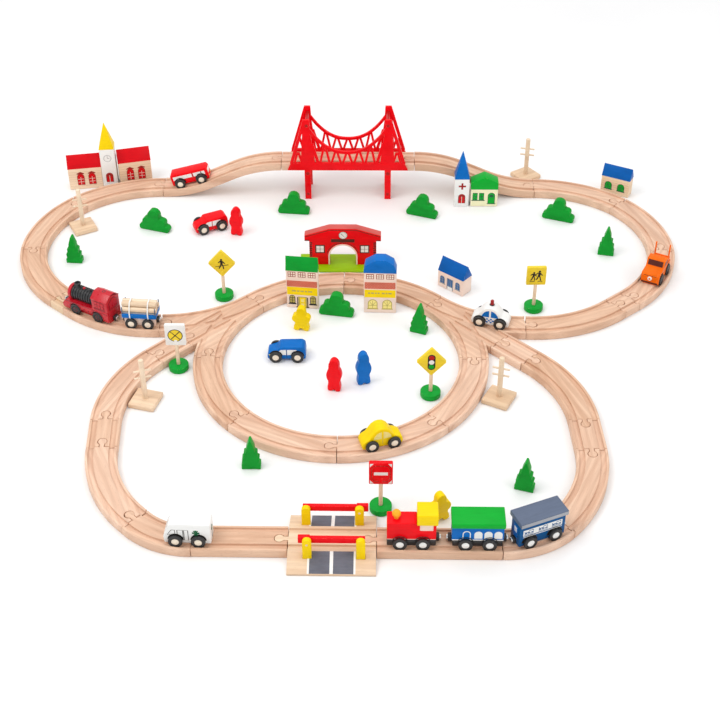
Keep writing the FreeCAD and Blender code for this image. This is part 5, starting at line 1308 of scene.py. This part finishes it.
# windscreen lines on the sloping front
q = [(-21.5, 29.2), (-25.6, 18.6), (-25.2, 18.4), (-21.0, 29.0)]
P.prism([(x_ - 0.35, z_ + 0.1) for x_, z_ in q], "xz", -7.8, -7.2, "grey_ink", 0)
P.prism([(x_ - 0.35, z_ + 0.1) for x_, z_ in q], "xz", 7.2, 7.8, "grey_ink", 0)
P.prism([(x_ - 0.35, z_ + 0.1) for x_, z_ in q], "xz", -0.3, 0.3, "grey_ink", 0)
P.deco(rect(0, 21.0, 7.5, 2.2), "+x", "green_ink", 28.4, 0.2)
P.deco(rect(0, 21.0, 2.2, 7.5), "+x", "green_ink", 28.4, 0.22)
P.deco(rect(0, 16.5, 0.5, 22.0), "+x", "grey_ink", 28.3, 0.2)
P.done()
wheels("ambulance", hub="cream")

# orange tow truck ----------------------------------------------------------
P = car("orange_truck")
pts = [(-26, 4), (27, 4), (27.5, 19), (26, 21.5), (8, 22.5), (4, 33), (-9, 33), (-10, 20), (-26, 20)]
P.prism(pts, "xz", -10.2, 10.2, "orange", 0.3, 2)
sp = [(-26, 5.0)]
for c in (-15, 15):
    sp += [(c + 9.5 * math.cos(rad(t)), 8.5 + 9.5 * math.sin(rad(t))) for t in range(200, -21, -20)]
sp += [(27, 5.0), (27.5, 19), (26, 21.5), (8, 22.5), (4, 33), (-9, 33), (-10, 20), (-26, 20)]
P.prism(sp, "xz", -13.4, -9.8, "orange", 1.0, 3)
P.prism(sp, "xz", 9.8, 13.4, "orange", 1.0, 3)
P.prism([(-25.4, 4.2), (26.6, 4.2), (27.1, 18.6), (25.6, 21.3), (7.8, 22.3), (3.8, 32.9), (-8.9, 32.9), (-9.9, 19.9), (-25.4, 19.9)], "xz", -10.0, 10.0, "orange", 0)
P.box(-26.5, -10.5, -12.0, 12.0, 19.5, 24.0, "orange", 0.6)
for sy in (-1, 1):
    P.cyl((-23.5, sy * 10.4, 24.0), "z", 1.1, 21.0, "orange", 0.3, 18)
P.box(-24.6, -22.4, -11.4, 11.4, 23.6, 25.4, "orange", 0.4)
# windscreen on the slope, side glass, lamp, bumper
nx, nz = 10.5 / 11.24, 4.0 / 11.24
q = [(7.5, 23.9), (4.6, 31.5), (4.6 + nx * 0.2, 31.5 + nz * 0.2), (7.5 + nx * 0.2, 23.9 + nz * 0.2)]
P.prism([(x_ - nx * 0.02, z_) for x_, z_ in q[:2]] + [(x_, z_) for x_, z_ in q[3:1:-1]][::-1], "xz", -11.0, 11.0, "brown_ink", 0)
for side, f in (("-y", -13.4), ("+y", 13.4)):
    P.deco([(-7.4, 23.6), (5.2, 23.6), (2.6, 30.8), (-7.0, 30.8)], side, "brown_ink", f, 0.14)
    P.deco(rect(-1.2, 27.2, 0.9, 7.4), side, "orange", f, 0.2)
P.cyl((26.9, 0, 14.0), "x", 3.2, 1.9, "white", 0.4, 28)
P.deco(circ(0, 14.0, 1.5, 20), "+x", "orange", 28.7, 0.12)
P.deco(rect(0, 6.4, 24.0, 2.6), "+x", "brown_ink", 27.1, 0.2)
P.deco(rect(0, 18.4, 19.0, 0.6), "+x", "brown_ink", 27.45, 0.15)
P.done()
wheels("orange_truck", hub="black_plastic")

# -------------------------------------------------- floor, light and camera
bm = bmesh.new()
bmesh.ops.create_grid(bm, x_segments=2, y_segments=2, size=30.0)
me = bpy.data.meshes.new("floor")
bm.to_mesh(me)
bm.free()
floor = bpy.data.objects.new("floor", me)
bpy.context.scene.collection.objects.link(floor)
floor.location = (0, 0, -0.0004)
m, nt, b = base_mat("floor_white")
v1, rnd = coords(nt, (3.0, 3.0, 3.0))
n1 = nod(nt, "ShaderNodeTexNoise", Scale=1.0, Detail=3.0)
nt.links.new(v1, n1.inputs["Vector"])
nt.links.new(ramp(nt, n1.outputs[0], [(0.3, (0.86, 0.86, 0.865)), (0.7, (0.90, 0.90, 0.90))]), b.inputs["Base Color"])
b.inputs["Roughness"].default_value = 0.7
b.inputs["Specular IOR Level"].default_value = 0.2
me.materials.append(m)

w = bpy.data.worlds.new("studio")
bpy.context.scene.world = w
w.use_nodes = True
bg = w.node_tree.nodes.get("Background")
bg.inputs[0].default_value = (1.0, 1.0, 1.0, 1)
bg.inputs[1].default_value = 0.80


def area(name, loc, target, size, power, col=(1, 1, 1)):
    l = bpy.data.lights.new(name, "AREA")
    l.shape = "DISK"
    l.size = size
    l.energy = power
    l.color = col
    o = bpy.data.objects.new(name, l)
    o.location = loc
    o.rotation_euler = (Vector(target) - Vector(loc)).to_track_quat("-Z", "Y").to_euler()
    bpy.context.scene.collection.objects.link(o)


area("key", (-1.3, -0.6, 2.4), (0, 0, 0), 1.5, 26.0, (1.0, 0.985, 0.965))
area("fill", (1.8, -1.2, 1.9), (0, 0, 0), 2.0, 13.0, (0.97, 0.985, 1.0))
area("top", (0.1, 0.9, 2.6), (0, 0.1, 0), 2.0, 12.0)

f, cx, cy, Cx, Cy, Cz = 1350.0, 340.7, 358.7, 53.7, -1447.5, 1158.0
pitch, yaw, roll = rad(38.45), rad(2.132), rad(-0.942)
fw = Vector((-math.sin(yaw) * math.cos(pitch), math.cos(yaw) * math.cos(pitch), -math.sin(pitch)))
rt = Vector((math.cos(yaw), math.sin(yaw), 0))
up = rt.cross(fw)
r2 = rt * math.cos(roll) + up * math.sin(roll)
u2 = -rt * math.sin(roll) + up * math.cos(roll)
cam = bpy.data.cameras.new("cam")
co = bpy.data.objects.new("cam", cam)
bpy.context.scene.collection.objects.link(co)
M = Matrix((r2, u2, -fw)).transposed().to_4x4()
M.translation = Vector((Cx / 1000, (Cy + OY) / 1000, Cz / 1000))
co.matrix_world = M
cam.sensor_width = 36.0
cam.lens = f * 36.0 / 720.0
cam.shift_x = (360 - cx) / 720
cam.shift_y = (cy - 360) / 720
cam.clip_end = 100
cam.dof.use_dof = False
bpy.context.scene.camera = co
bpy.context.scene.view_settings.view_transform = "Standard"
bpy.context.scene.view_settings.look = "None"
